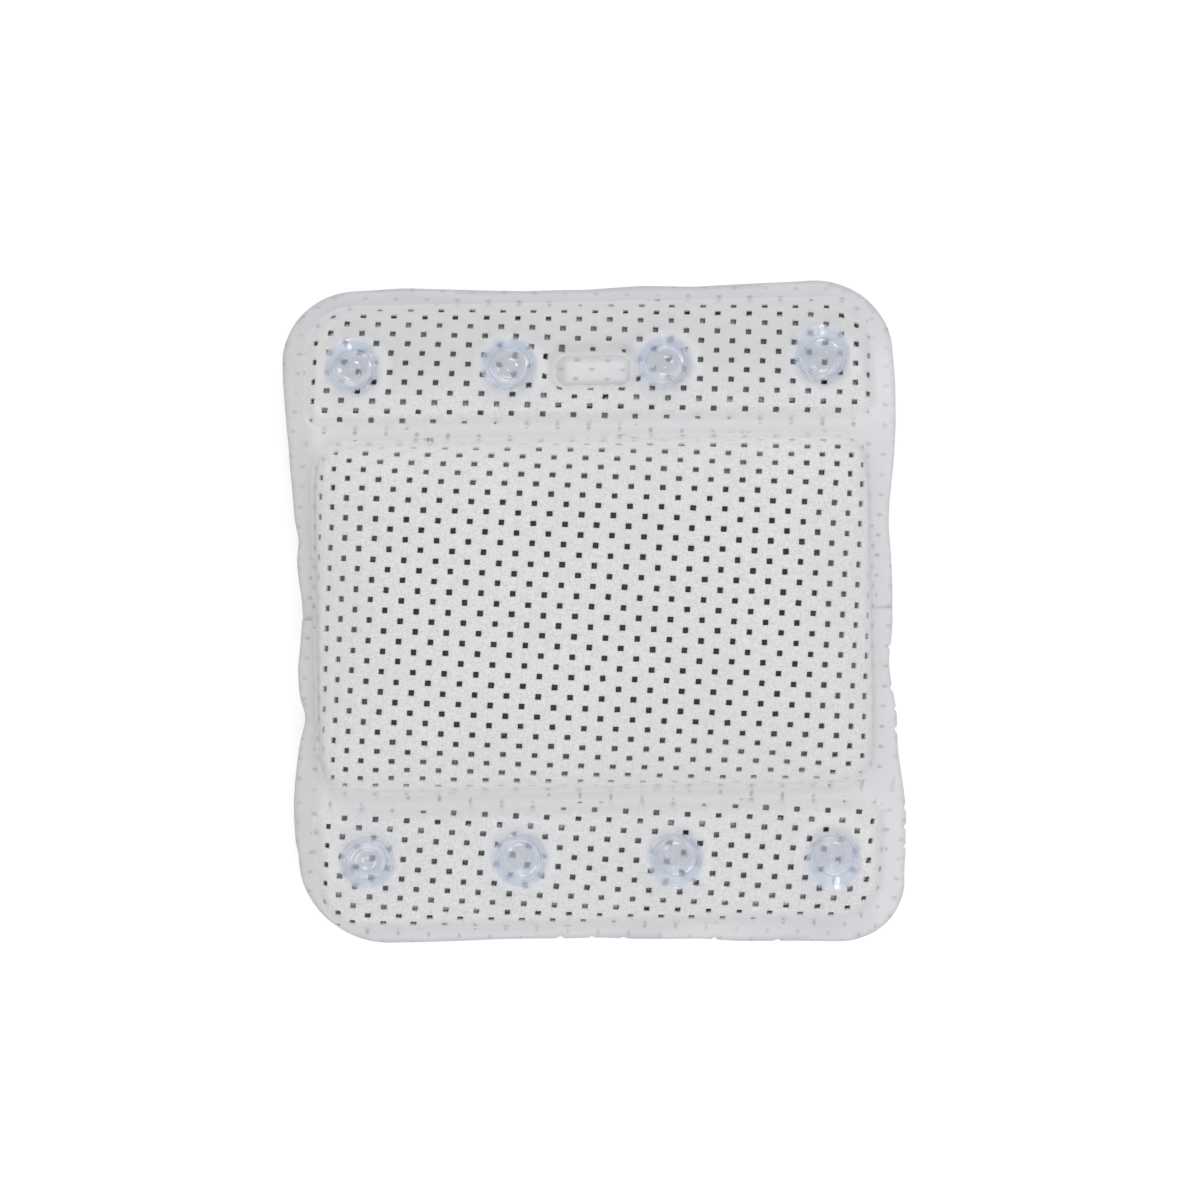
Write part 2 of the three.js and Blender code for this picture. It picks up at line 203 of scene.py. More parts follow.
def foamSheetFinish():
    look = foamLook
    finish = Finish("foamSheet", look["white"])
    skin, grain = finish.noise(1500, 4, 0.6), finish.noise(760, 3, 0.7)
    nearHole, nearWeld, nearCup, shut, thin = finish.marks("nearHole", "nearWeld", "nearCup", "shut", "thin")
    x, up = finish.axes(finish.place)
    # the pad's rim takes the pressed colour; near the fold lines it is lighter, painted light in the fold valleys
    rim = finish.blend(up.maths("ABSOLUTE").over(*foldSpan), look["pressed"], look["fold"])
    colour = finish.layers(
        look["white"],
        (finish.noise(14, 2).between(0.35, 0.7) * 0.55, look["shade"]),
        (finish.noise(6, 1).between(0.5, 0.75) * 0.5, look["warmTintAndLeftShade"]),
        # painted shade: the foam on the upper flap is darker
        (up.between(0.106, 0.140) * 0.8, look["upper"]),
        (grain.between(0.40, 0.62) * 0.8, look["grain"]),
        # painted shade: a warm tint on the cushion's left side
        ((x * -1).between(0.128, 0.150) * 0.5, look["warmTintAndLeftShade"]),
        (nearWeld * 0.9, rim),
        # painted light: a lighter ring round each cup, where the cups' shadow falls on the sheet
        (nearCup * 0.55, look["paintedLightRoundCup"]),
        # painted shade: the foam darkens towards each hole's rim and down its walls
        (nearHole.between(0.55, 1.0) * 0.5, look["holeRimShade"]),
        (shut ** 3 * 0.75, look["shut"]))
    bump = finish.bump(skin * 0.6 + finish.cells(850) * 0.5 + finish.noise(330, 2) * 0.7, 0.26, 0.0004)
    roughness = skin * 0.16 + look["roughness"]

    def foam(depth):  # light passes through the foam, not through its pressed rim
        return finish.node("BsdfPrincipled", None, {
            "Base Color": colour, "Roughness": roughness, "Normal": bump, "Specular IOR Level": 0.35,
            "Sheen Weight": 0.08, "Sheen Roughness": 0.5, "Subsurface Weight": depth,
            "Subsurface Radius": (1.0, 1.0, 0.95), "Subsurface Scale": look["depth"]})

    return finish.done(finish.node("MixShader", None, {0: thin, 1: foam(0.7), 2: foam(0)}))


def pressedWeldFinish():
    look = weldLook
    finish = Finish("pressedWeld", look["film"])
    upright, bold, patch, frame = finish.marks("uprightSlits", "boldSlits", "foamPatch", "paintedFrameShade")
    split, down = finish.axes(finish.node("UVMap", {"uv_map": "flatPlace"}))
    column, row = split * (1000 / lattice["along"]), down * (1000 / lattice["across"])
    narrow, wide = look["slitWidth"] ** -2, look["slitLength"] ** -2

    def slits(shift):  # one of the two staggered sets of pressed holes
        besides = (column + shift).maths("PINGPONG", 0.5) * lattice["along"]
        above = (row + shift).maths("PINGPONG", 0.5) * lattice["across"]
        far = (besides ** 2 * (upright * (narrow - wide) + wide)
               + above ** 2 * (upright * (wide - narrow) + narrow))
        return 1 - far.between(0.2, 1.5)

    marks = slits(0).maths("MAXIMUM", slits(0.5))
    patchy = (finish.noise(45, 2).between(0.25, 0.62) * 0.6 + 0.4) * (bold * 0.5 + 0.5)
    cloud = finish.noise(22, 3)
    x, up = finish.axes(finish.place)
    left, away = x * -1, up.maths("ABSOLUTE")
    colour = finish.layers(
        look["film"],
        (cloud.between(0.3, 0.7), look["thin"]),
        # painted shade: the band's left side darker
        (left.between(0.143, 0.150) * 0.6, look["warmTintAndLeftShade"]),
        # painted light: the band's right side lighter
        (x.between(0.143, 0.152) * 0.6, look["right"]),
        # painted light: the band lighter in the fold valleys
        (away.over(*foldSpan) * (1 - x.maths("ABSOLUTE").between(0.142, 0.152)) * 0.9, look["fold"]),
        # painted shade: a darker strip beside the cushion's left wall
        (bold * left.between(0.140, 0.146) * (1 - away.between(0.070, 0.092)) * 0.5, look["shadeBesidePad"]),
        # painted shade: the band round the upper flap darker towards its far end
        (up.between(0.12, 0.17) * 0.9, look["far"]),
        (patch, look["patch"]),
        # painted shade: the sunk frame round the raised patch darker
        (frame * 0.8, look["frame"]),
        (marks * patchy * 0.85, look["slit"]))
    return finish.done(finish.node("BsdfPrincipled", None, {
        "Base Color": colour, "Roughness": cloud * 0.15 + look["roughness"], "Specular IOR Level": 0.45,
        "Normal": finish.bump(finish.noise(260, 3) * 0.5 + finish.noise(900, 2) * 0.18 - marks * 0.8, 0.3, 0.0005)}))


def darkFoamFinish():
    finish = Finish("darkFoam", coreLook["foam"])
    cells = finish.cells(700)
    return finish.done(finish.node("BsdfPrincipled", None, {
        "Base Color": finish.blend(cells.between(0.1, 0.6), coreLook["cell"], coreLook["foam"]),
        "Roughness": coreLook["roughness"], "Normal": finish.bump(cells, 0.6, 0.0006)}))


def clearVinylFinish():
    finish = Finish("clearVinyl", cupLook["clear"])
    skirt, lip = finish.marks("skirt", "lip")
    haze = finish.noise(240, 3)
    bump = finish.bump(haze, 0.05, 0.0005)
    thin = lip * (cupLook["lipAlpha"] - cupLook["alpha"]) + cupLook["alpha"]

    def vinyl(colour, roughness, transmission):
        return finish.node("BsdfPrincipled", None, {
            "Base Color": colour, "Roughness": haze * 0.08 + roughness, "Alpha": thin, "Normal": bump,
            "Transmission Weight": transmission, "IOR": cupLook["refraction"], "Specular IOR Level": 0.5,
            "Coat Weight": 1.0, "Coat Roughness": 0.07, "Coat IOR": 1.75})

    clear = vinyl((*cupLook["clear"], 1), cupLook["roughness"], 0.9)
    milky = vinyl(finish.blend(skirt, cupLook["milk"], cupLook["skirt"]), cupLook["milkRoughness"], 0.55)
    milkiness = skirt * (cupLook["milkiest"] - cupLook["clearest"]) + cupLook["clearest"]
    return finish.done(finish.node("MixShader", None, {0: milkiness, 1: clear, 2: milky}))


foamSheet, pressedWeld = foamSheetFinish(), pressedWeldFinish()
darkFoam, clearVinyl = darkFoamFinish(), clearVinylFinish()
print("materials made")


# Mesh helpers
def smoothStep(value, low, high):
    share = np.clip((value - low) / (high - low), 0, 1)
    return share * share * (3 - 2 * share)


def hump(value, start, full, leave, end):  # 1 from full to leave, 0 outside start and end
    return smoothStep(value, start, full) * (1 - smoothStep(value, leave, end))


def slopes(surface, x, y, step):
    return np.stack((surface(x + step, y) - surface(x - step, y),
                     surface(x, y + step) - surface(x, y - step))) / (2 * step)


def cellsOf(shape):  # the faces of a grid of points
    index = np.arange(shape[0] * shape[1]).reshape(shape)
    return np.stack((index[:-1, :-1], index[:-1, 1:], index[1:, 1:], index[1:, :-1]), 2).reshape(-1, 4)


def tubeFaces(levels, sides):
    return [(level * sides + k, level * sides + (k + 1) % sides, (level + 1) * sides + (k + 1) % sides,
             (level + 1) * sides + k) for level in range(levels - 1) for k in range(sides)]


def nearestOf(points):  # finds the nearest of the points to each place, and how far it is
    tree = kdtree.KDTree(len(points))
    for index, point in enumerate(points):
        tree.insert((*point, 0)[:3], index)
    tree.balance()
    return lambda places: np.array([tree.find((*place, 0)[:3])[1:] for place in places]).T


def pointsOf(mesh):
    points = np.empty(len(mesh.vertices) * 3, np.float32)
    mesh.vertices.foreach_get("co", points)
    return points.reshape(-1, 3)


def cornersOf(mesh):  # the point of every face corner
    corners = np.empty(len(mesh.loops), np.int32)
    mesh.loops.foreach_get("vertex_index", corners)
    return corners


closing = {"sliver": 0.01, "mostSides": 16, "sharpAngle": 120}


def closeRim(shell, within):  # joins the open edges of a sheet's two sides, and fills what is left
    rim = [vert for vert in shell.verts if vert.is_boundary]
    bmesh.ops.remove_doubles(shell, verts=rim, dist=within * millimetre)
    bmesh.ops.dissolve_degenerate(shell, edges=shell.edges, dist=closing["sliver"] * millimetre)
    bmesh.ops.delete(shell, geom=[edge for edge in shell.edges if edge.is_wire], context="EDGES")
    bmesh.ops.delete(shell, geom=[vert for vert in shell.verts if not vert.link_faces], context="VERTS")
    gaps = [edge for edge in shell.edges if edge.is_boundary]
    return bmesh.ops.holes_fill(shell, edges=gaps, sides=closing["mostSides"])["faces"]


def buildMesh(name, points, faces, finish, flatPlaces=None, shares=None, weldWithin=0.02, closeWithin=0):
    mesh = bpy.data.meshes.new(name)
    mesh.from_pydata((np.asarray(points) * millimetre).tolist(), [], [tuple(face) for face in faces])
    if flatPlaces is not None:
        layer = mesh.uv_layers.new(name="flatPlace")
        places = np.asarray(flatPlaces)[cornersOf(mesh)] * millimetre
        layer.data.foreach_set("uv", places.astype(np.float32).ravel())
    for attribute, values in (shares or {}).items():
        layer = mesh.attributes.new(attribute, "FLOAT", "POINT")
        layer.data.foreach_set("value", np.asarray(values, np.float32))
    shell = bmesh.new()
    shell.from_mesh(mesh)
    if weldWithin:
        bmesh.ops.remove_doubles(shell, verts=shell.verts, dist=weldWithin * millimetre)
        bmesh.ops.dissolve_degenerate(shell, edges=shell.edges, dist=weldWithin * millimetre)
    filled = closeRim(shell, closeWithin) if closeWithin else []
    bmesh.ops.recalc_face_normals(shell, faces=shell.faces)
    if shell.calc_volume(signed=True) < 0:
        bmesh.ops.reverse_faces(shell, faces=shell.faces)
    for face in shell.faces:
        face.smooth = True
    for face in filled:
        face.smooth = False
    shell.to_mesh(mesh)
    shell.free()
    mesh.set_sharp_from_angle(angle=math.radians(closing["sharpAngle"]))
    mesh.materials.append(finish)
    return addObject(name, mesh)


def removeObject(unwanted):
    mesh = unwanted.data
    bpy.data.objects.remove(unwanted)
    bpy.data.meshes.remove(mesh)


# Perforated sheet, laid out flat by Geometry Nodes before it is pulled over a pad. A tile's rings say their share of
# the way from the hole to the border, how far they stand back from the hole, and their depth.
sheet = {"columns": 25, "rows": 27, "thickness": 3.0, "holeSize": 2.9, "cut": 0.8, "clear": 0.4, "merged": 0.01,
         "rings": ((1, 0, 0), (0.45, 0.35, -0.032), (0, 0.35, -0.22), (0, 0.08, -0.64), (0, 0, -2.7), (1, 0, -3.0))}


def perforationTile():  # one cell of the staggered pattern round one square hole
    along, across, half = lattice["along"], lattice["across"], sheet["holeSize"] / 2
    tip, shoulder = (along**2 + across**2) / (4 * along), (along**2 - across**2) / (4 * along)
    corners = [(tip, 0), (shoulder, across / 2), (-shoulder, across / 2),
               (-tip, 0), (-shoulder, -across / 2), (shoulder, -across / 2)]
    border, hole = [], []
    for index, (x, y) in enumerate(corners):
        nextX, nextY = corners[(index + 1) % 6]
        border += [(x, y), ((x + nextX) / 2, (y + nextY) / 2)]
    quarter = [(1, 0), (1, sheet["cut"]), (sheet["cut"], 1)]
    for _ in range(4):
        hole += [(half * x, half * y) for x, y in quarter]
        quarter = [(-y, x) for x, y in quarter]
    points = []
    for share, widen, depth in sheet["rings"]:
        scale = (half + widen) / half
        points += [(bx * share + hx * scale * (1 - share), by * share + hy * scale * (1 - share), depth)
                   for (bx, by), (hx, hy) in zip(border, hole)]
    mesh = bpy.data.meshes.new("perforationTile")
    mesh.from_pydata(points, [], tubeFaces(len(sheet["rings"]), len(border)))
    return addObject("perforationTile", mesh)


def perforationTree():
    tree = bpy.data.node_groups.new("perforatedSheet", "GeometryNodeTree")
    for name, kind in (("Columns", "Int"), ("Rows", "Int"), ("Pitch Along", "Float"), ("Pitch Across", "Float"),
                       ("Tile", "Object"), ("Sheet Material", "Material")):
        tree.interface.new_socket(name=name, in_out="INPUT", socket_type="NodeSocket" + kind)
    tree.interface.new_socket(name="Sheet", in_out="OUTPUT", socket_type="NodeSocketGeometry")
    nodes = Nodes(tree)
    columns, rows, along, across, tile, foam = (nodes.node("NodeGroupInput", None, None, k) for k in range(6))
    grid = nodes.node("GeometryNodeMeshGrid", None, {
        0: (columns - 1) * along, 1: (rows - 1) * across, 2: columns, 3: rows})
    stagger = nodes.node("CombineXYZ", None, {0: along * 0.5, 1: across * 0.5})
    between = nodes.node("GeometryNodeTransform", None, {"Geometry": grid, "Translation": stagger})
    places = nodes.node("GeometryNodeJoinGeometry", None, {0: [grid, between]})
    piece = nodes.node("GeometryNodeObjectInfo", None, {"Object": tile}, "Geometry")
    tiles = nodes.node("GeometryNodeInstanceOnPoints", None, {"Points": places, "Instance": piece})
    real = nodes.node("GeometryNodeRealizeInstances", None, {0: tiles})
    joined = nodes.node("GeometryNodeMergeByDistance", None, {"Geometry": real, "Distance": sheet["merged"]})
    coloured = nodes.node("GeometryNodeSetMaterial", None, {"Geometry": joined, "Material": foam})
    nodes.node("NodeGroupOutput", None, {0: coloured})
    return tree


def flatPerforatedSheet(columns, rows):  # points and faces of a flat sheet, holes and both sides
    tile, tree = perforationTile(), perforationTree()
    host = addObject("flatSheet", bpy.data.meshes.new("flatSheet"))
    modifier = host.modifiers.new("perforations", "NODES")
    modifier.node_group = tree
    given = [socket.identifier for socket in tree.interface.items_tree if socket.in_out == "INPUT"]
    for key, value in zip(given, (columns, rows, lattice["along"], lattice["across"], tile, foamSheet)):
        modifier[key] = value
    mesh = bpy.data.meshes.new_from_object(host.evaluated_get(bpy.context.evaluated_depsgraph_get()))
    points, faces = pointsOf(mesh).astype(float), cornersOf(mesh).reshape(-1, 4)
    bpy.data.meshes.remove(mesh)
    removeObject(host)
    removeObject(tile)
    bpy.data.node_groups.remove(tree)
    return points, faces


def tileCentres(places):  # the hole that each point of the flat sheet belongs to
    pitch = np.array((lattice["along"], lattice["across"]))
    even = np.round(places / pitch) * pitch
    odd = (np.floor(places / pitch) + 0.5) * pitch
    nearer = np.hypot(*(places - even).T) <= np.hypot(*(places - odd).T)
    return np.where(nearer[:, None], even, odd)


# Pad forms: where a point of the flat cloth comes to lie
droop = math.radians(13.93)
pillow = {"weldMiddle": 21.3, "foot": 0.9, "flange": 2.0, "overlap": 0.25, "sunk": 0.2, "foldLine": 97,
          "sine": math.sin(droop), "cosine": math.cos(droop)}
cushion = {"length": 297, "width": 186.4, "shoulder": 40, "cornerPower": 5, "shoulderPower": 2.2,
           "rearRise": 18.4, "frontRise": 20.9, "crown": 5, "softFoot": 3.5, "overTable": 0.25}
flap = {"length": 304, "width": 68, "start": 4.2, "half": 5.4, "roll": 8, "rollPower": 0.8,
        "foldCorner": 9, "endCorner": 26, "crown": 0.6}
tack = {"x": 2, "row": 34.2, "length": 41.6, "width": 18.4, "corner": 6.5, "roll": 6, "half": 0.9,
        "patchX": 1.4, "patchRow": -1.2, "patchLength": 34, "patchWidth": 13, "patchRise": 1.0, "patchCorner": 2,
        "patchEdge": (-3.0, 2.6), "tuck": 1.2, "edgeStep": 1.5, "grid": 1.3, "sag": 0.12, "sagWaves": (0.7, 0.9),
        "bold": 0.9, "foam": 0.9}
flapMiddle = flap["start"] + flap["width"] / 2


def unrolled(height, half, samples=600):  # from the cloth's own length to its place, along one middle line
    share = np.linspace(0, 1, samples)
    place = half * (1 - (1 - share) ** 3)
    climb = height(place)
    length = np.concatenate(([0], np.cumsum(np.hypot(np.diff(place), np.diff(climb)))))

    def reach(distance):
        far = np.abs(distance)
        return np.sign(distance) * (np.interp(far, length, place) + np.maximum(far - length[-1], 0))
    return reach


def flangeRise(past):  # the sheet's rim runs out over the weld as a thin wedge
    return pillow["overlap"] - (pillow["overlap"] + pillow["sunk"]) * smoothStep(past, 0, pillow["flange"])


def bulge(x, y, half):  # 1 in the middle of a rectangle, 0 at its edges
    return np.maximum(1 - (x / half[0]) ** 2, 0) * np.maximum(1 - (y / half[1]) ** 2, 0)


def padForm(half, aside, level, height, **others):  # aside: where its length is measured, in halves
    return {"half": half, "level": level, "height": height, **others,
            "unroll": (unrolled(lambda x: height(x, 0 * x - aside * half[1]), half[0]),
                       unrolled(lambda y: height(0 * y - aside * half[0], y), half[1]))}


def reached(form, places):  # where places of the flat cloth come to lie, seen from above
    return [unroll(values) for unroll, values in zip(form["unroll"], places.T)]


def cushionForm(side):
    half, shoulder, power = (cushion["length"] / 2, cushion["width"] / 2), cushion["shoulder"], cushion["cornerPower"]
    rise = cushion["rearRise"] if side > 0 else cushion["frontRise"]

    def edges(x, y):
        return [np.maximum(1 - (end - np.abs(value)) / shoulder, 0) for end, value in zip(half, (x, y))]

    def level(x, y):
        across, along = edges(x, y)
        return (across ** power + along ** power) ** (1 / power)

    def height(x, y):
        near = np.minimum(level(x, y), 1)
        steep = (1 - near ** cushion["shoulderPower"]) ** (1 / cushion["shoulderPower"])
        steep = steep * smoothStep((1 - near) * shoulder, 0, cushion["softFoot"])
        top = (pillow["foot"] + flangeRise((level(x, y) - 1) * shoulder) + rise * steep
               + cushion["crown"] * bulge(x, y, half))
        return np.minimum(top, pillow["weldMiddle"] - cushion["overTable"]) if side < 0 else top

    def clip(x, y, flange=pillow["flange"]):
        over = np.maximum(level(x, y) / (1 + flange / shoulder), 1)
        return [np.where(edge > 0, np.sign(value) * (end - shoulder * (1 - edge / over)), value)
                for edge, value, end in zip(edges(x, y), (x, y), half)]

    return padForm(half, 0, level, height, clip=clip, rim=shoulder, openFrom=(3, 12), shutBelow=(4.5, 8.0),
                   toRim=lambda x, y: (1 - level(x, y)) * shoulder,
                   place=lambda x, y, out: np.stack((x, y, pillow["weldMiddle"] + side * out), 1))


def flapLine(x, along, out, end):  # a flap's own place turned into the pillow's, end is 1 or -1
    return np.stack((x, end * (pillow["foldLine"] + along * pillow["cosine"] + out * pillow["sine"]),
                     pillow["weldMiddle"] - along * pillow["sine"] + out * pillow["cosine"]), 1)


def boxDistance(x, y, halfX, halfY, radius):  # distance out of a rounded rectangle, and the way out
    past = np.stack((np.abs(x) - halfX + radius, np.abs(y) - halfY + radius))
    corner = np.maximum(past, 0)
    reach = np.hypot(*corner)
    way = np.where(reach > 1e-9, corner / np.maximum(reach, 1e-9), past == past.max(0))
    return np.minimum(past.max(0), 0) + reach - radius, way * np.sign(np.stack((x, y)))


def flapForm(side, end):
    half, roll = (flap["length"] / 2, flap["width"] / 2), flap["roll"]
    windowed = end > 0  # both sheets of the upper flap have the tack weld's window

    def outline(x, y):
        return boxDistance(x, y, *half, np.where(y > 0, flap["endCorner"], flap["foldCorner"]))

    def window(x, y):
        return boxDistance(x - tack["x"], y + flapMiddle - tack["row"],
                           tack["length"] / 2, tack["width"] / 2, tack["corner"])

    def dome(level):  # a soft roll, flush with the weld at its foot
        return smoothStep(1 - level, 0, 1) ** flap["rollPower"]

    def level(x, y):
        rim = np.maximum(1 + outline(x, y)[0] / roll, 0)
        return np.maximum(rim, 1 - window(x, y)[0] / roll) if windowed else rim

    def height(x, y):
        steep = dome(1 + outline(x, y)[0] / roll)
        if windowed:
            steep = np.minimum(steep, dome(1 - window(x, y)[0] / tack["roll"]))
        return (pillow["foot"] + flangeRise((level(x, y) - 1) * roll) + (flap["half"] - pillow["foot"]) * steep
                + flap["crown"] * bulge(x, y, half) * steep)

    def clip(x, y):
        distance, way = outline(x, y)
        x, y = np.stack((x, y)) - np.maximum(distance - pillow["flange"], 0) * way
        if windowed:
            distance, way = window(x, y)
            x, y = np.stack((x, y)) - np.minimum(distance + pillow["flange"], 0) * way
        return x, y

    return padForm(half, 0.5, level, height, clip=clip, rim=roll, openFrom=(0.5, 5.5), shutBelow=(0.8, 3.0),
                   toRim=lambda x, y: -outline(x, y)[0],
                   place=lambda x, y, out: flapLine(x, y + flapMiddle, side * out, end))


def drape(form, places, depth=0, full=0):  # flat cloth places and depths to points on the pad
    x, y = reached(form, places)
    inside = form["level"](x, y) < 1 + pillow["flange"] / form["rim"]
    x, y = form["clip"](x, y)
    height, (slopeX, slopeY) = form["height"](x, y), slopes(form["height"], x, y, 0.05)
    thick = depth / sheet["thickness"] * full * inside
    steep = np.sqrt(1 + slopeX**2 + slopeY**2)
    x, y, out = x - slopeX / steep * thick, y - slopeY / steep * thick, height + thick / steep
    return form["place"](x, y, out), inside


# Sheets as pulled over each pad: start and steps of the hole pattern, along and across, as the photo shows them.
# On a flap the front sheet's holes lie between the rear sheet's, so that no hole shows the floor.
upperSteps = {"along": (16.55, -0.73), "across": (0.79, 10.79)}
lowerSteps = {"along": (16.49, 1.15), "across": (-1.22, 10.89)}
pulls = {
    "cushionRear": {"form": cushionForm(1), "start": (6.6, -2.0), "along": (16.64, -0.87), "across": (0.90, 10.68)},
    "cushionFront": {"form": cushionForm(-1), "start": (1.2, 3.0), "along": (16.66, 0.40), "across": (-0.30, 10.70)},
    "upperFlapRear": {"form": flapForm(1, 1), "start": (10.1, 39.2 - flapMiddle), **upperSteps},
    "upperFlapFront": {"form": flapForm(-1, 1), "start": (14.4, 41.7 - flapMiddle), **upperSteps},
    "lowerFlapRear": {"form": flapForm(1, -1), "start": (3.1, 33.5 - flapMiddle), **lowerSteps},
    "lowerFlapFront": {"form": flapForm(-1, -1), "start": (6.9, 36.5 - flapMiddle), **lowerSteps}}


# Cups: places along the flap's own line, and how each one's rim is bent aside and tilted, in mm and degrees
cups = {"count": 4, "spacing": 83.5, "rows": {"upper": 34.5, "lower": 31.5},
        "shifts": {"upper": ((-0.8, 1.0), (-0.9, -0.5), (-2.4, -0.9), (-1.8, 1.9)),
                   "lower": ((2.5, -1.6), (-0.5, -1.4), (-1.4, 0.6), (-1.0, 3.6))},
        "tilts": {"upper": ((-3, 0), (-3, 0), (-6, 0), (-7, -8)),
                  "lower": ((7, 0), (-2, -9), (-4, -9), (-3, -10))}}


def cupPlaces(row):  # in the flap's own lines
    first = -cups["spacing"] * (cups["count"] - 1) / 2
    return [(first + index * cups["spacing"], cups["rows"][row]) for index in range(cups["count"])]


# Air in the pads: a coarse skin of each pad is blown up as cloth, and its movement is kept
air = {"grid": 5.0, "weldWithin": 1.2, "pressure": 4.0, "frames": 20, "mass": 0.02, "quality": 6, "stiffness": 18,
       "bending": 0.4, "cushionMost": 1.3, "flapMost": 2.0, "cushionTable": (0.3, 6), "flapTable": (0.3, 4),
       "cushionRim": (0.93, 0.99), "flapRim": (0.5, 0.9), "cupFoot": (6.5, 12), "window": (0, 5)}


def gridPlaces(form):  # a plain grid that reaches past the pad's rim
    lines = []
    for unroll, half in zip(form["unroll"], form["half"]):
        reach = next(far for far in range(20, 400, 2) if abs(unroll(np.array([float(far)]))[0]) >= half)
        count = math.ceil(reach / air["grid"]) + 1
        lines.append(np.arange(-count, count + 1) * air["grid"])
    u, v = np.meshgrid(*lines)
    return lines, np.stack((u.ravel(), v.ravel()), 1), cellsOf(u.shape)


def blowUp(name, forms, held, most):  # held says how firmly each point stays, 1 is fixed
    grids, points, faces, start = [gridPlaces(form) for form in forms], [], [], 0
    for form, (_, places, cells) in zip(forms, grids):
        laid, inside = drape(form, places)
        points.append(laid)
        faces.append(cells[inside[cells].any(1)] + start)
        start += len(laid)
    used, faces = np.unique(np.concatenate(faces), return_inverse=True)
    skin = buildMesh(name, np.concatenate(points)[used], faces.reshape(-1, 4), foamSheet,
                     weldWithin=air["weldWithin"])
    before = pointsOf(skin.data).astype(float) / millimetre
    moved = np.zeros_like(before)
    group = skin.vertex_groups.new(name="held")
    for index, weight in enumerate(held(before)):
        group.add([index], float(weight), "REPLACE")
    modifier = skin.modifiers.new("air", "CLOTH")
    cloth = modifier.settings
    cloth.quality, cloth.mass = air["quality"], air["mass"]
    cloth.tension_stiffness = cloth.compression_stiffness = cloth.shear_stiffness = air["stiffness"]
    cloth.bending_stiffness = air["bending"]
    cloth.vertex_group_mass = "held"
    cloth.use_pressure, cloth.uniform_pressure_force = True, air["pressure"]
    cloth.effector_weights.gravity = 0
    for number in range(1, air["frames"] + 1):
        bpy.context.scene.frame_set(number)
    after = pointsOf(skin.evaluated_get(bpy.context.evaluated_depsgraph_get()).data)
    moved = after / millimetre - before
    far = np.maximum(np.linalg.norm(moved, axis=1), 1e-9)
    print(name, "moved by up to", round(float(far.max()), 2), "mm, mean", round(float(far.mean()), 2))
    moved *= (most * np.tanh(far / most) / far)[:, None]
    skin.modifiers.remove(modifier)
    bpy.context.scene.frame_set(1)
    nearest = nearestOf(before)
    removeObject(skin)
    return [((columns, rows), moved[nearest(laid)[0].astype(int)].reshape(len(rows), len(columns), 3))
            for ((columns, rows), _, _), laid in zip(grids, points)]


def cellAndShare(line, place):  # where places fall on one evenly spaced line of a grid
    value = np.clip((place - line[0]) / (line[1] - line[0]), 0, len(line) - 1.001)
    whole = value.astype(int)
    return whole, (value - whole)[:, None]


def movement(field, places):  # bilinear, at any flat place
    (columns, rows), grid = field
    (i, s), (j, t) = cellAndShare(columns, places[:, 0]), cellAndShare(rows, places[:, 1])
    return ((grid[j, i] * (1 - s) + grid[j, i + 1] * s) * (1 - t)
            + (grid[j + 1, i] * (1 - s) + grid[j + 1, i + 1] * s) * t)


def cushionHeld(points):  # the welded rim, and the side that lies on the table
    rim = cushionForm(1)["level"](points[:, 0], points[:, 1])
    low = 1 - smoothStep(points[:, 2], *air["cushionTable"])
    return np.maximum(smoothStep(rim, *air["cushionRim"]), low)


def flapHeld(row, end):  # the rim, the cups' feet and the tack weld
    form = flapForm(1, end)

    def held(points):
        dy, dz = end * points[:, 1] - pillow["foldLine"], points[:, 2] - pillow["weldMiddle"]
        x, along = points[:, 0], dy * pillow["cosine"] - dz * pillow["sine"]
        out = dy * pillow["sine"] + dz * pillow["cosine"]
        firm = smoothStep(form["level"](x, along - flapMiddle), *air["flapRim"])
        for cupX, cupY in cupPlaces(row):
            foot = 1 - smoothStep(np.hypot(x - cupX, along - cupY), *air["cupFoot"])
            firm = np.maximum(firm, foot * (out > 0))
        if row == "upper":
            window = np.maximum(np.abs(x - tack["x"]) - tack["length"] / 2,
                                np.abs(along - tack["row"]) - tack["width"] / 2)
            firm = np.maximum(firm, 1 - smoothStep(window, *air["window"]))
        return np.maximum(firm, 1 - smoothStep(points[:, 2], *air["flapTable"]))
    return held


blown = {}
for start, held, most in (("cushion", cushionHeld, air["cushionMost"]),
                          ("upperFlap", flapHeld("upper", 1), air["flapMost"]),
                          ("lowerFlap", flapHeld("lower", -1), air["flapMost"])):
    names = (start + "Rear", start + "Front")
    fields = blowUp(names[0] + "Skin", [pulls[name]["form"] for name in names], held, most)
    blown.update(zip(names, fields))
print("pads blown up")


# Perforated covers
flatPoints, flatFaces = flatPerforatedSheet(sheet["columns"], sheet["rows"])
flatCentres = tileCentres(flatPoints[:, :2])
punch = {"smallest": 0.93, "largest": 1.05, "astray": 0.09, "turned": 1.8, "pinchedTo": 0.16, "shutTo": 0.12,
         "pressedWithin": 7, "rimJoin": 0.9, "moved": (0.6, 1.6), "narrowest": 0.8, "darkWithin": 1.3,
         "thinBelow": (1.2, 3.5), "paintedLightRoundCup": (12, 15, 17, 22), "overTable": 0.1, "pressed": 0.98}
flapFoam = {"rear": 2.0, "gap": 0.5, "atCup": 3.0, "cupReach": (9, 14)}
print("flat perforated sheet has", len(flatFaces), "faces")


def towardsRim(form, x, y):  # unit steps straight out, where holes are pinched
    steps = slopes(form["level"], x, y, 0.5).T
    return steps / np.maximum(np.hypot(*steps.T), 1e-9)[:, None]


def cupDistance(name, x, y):  # from a flap's own place to the nearest cup's middle
    return np.min([np.hypot(x - cupX, y + flapMiddle - cupY) for cupX, cupY in cupPlaces(name[:5])], axis=0)


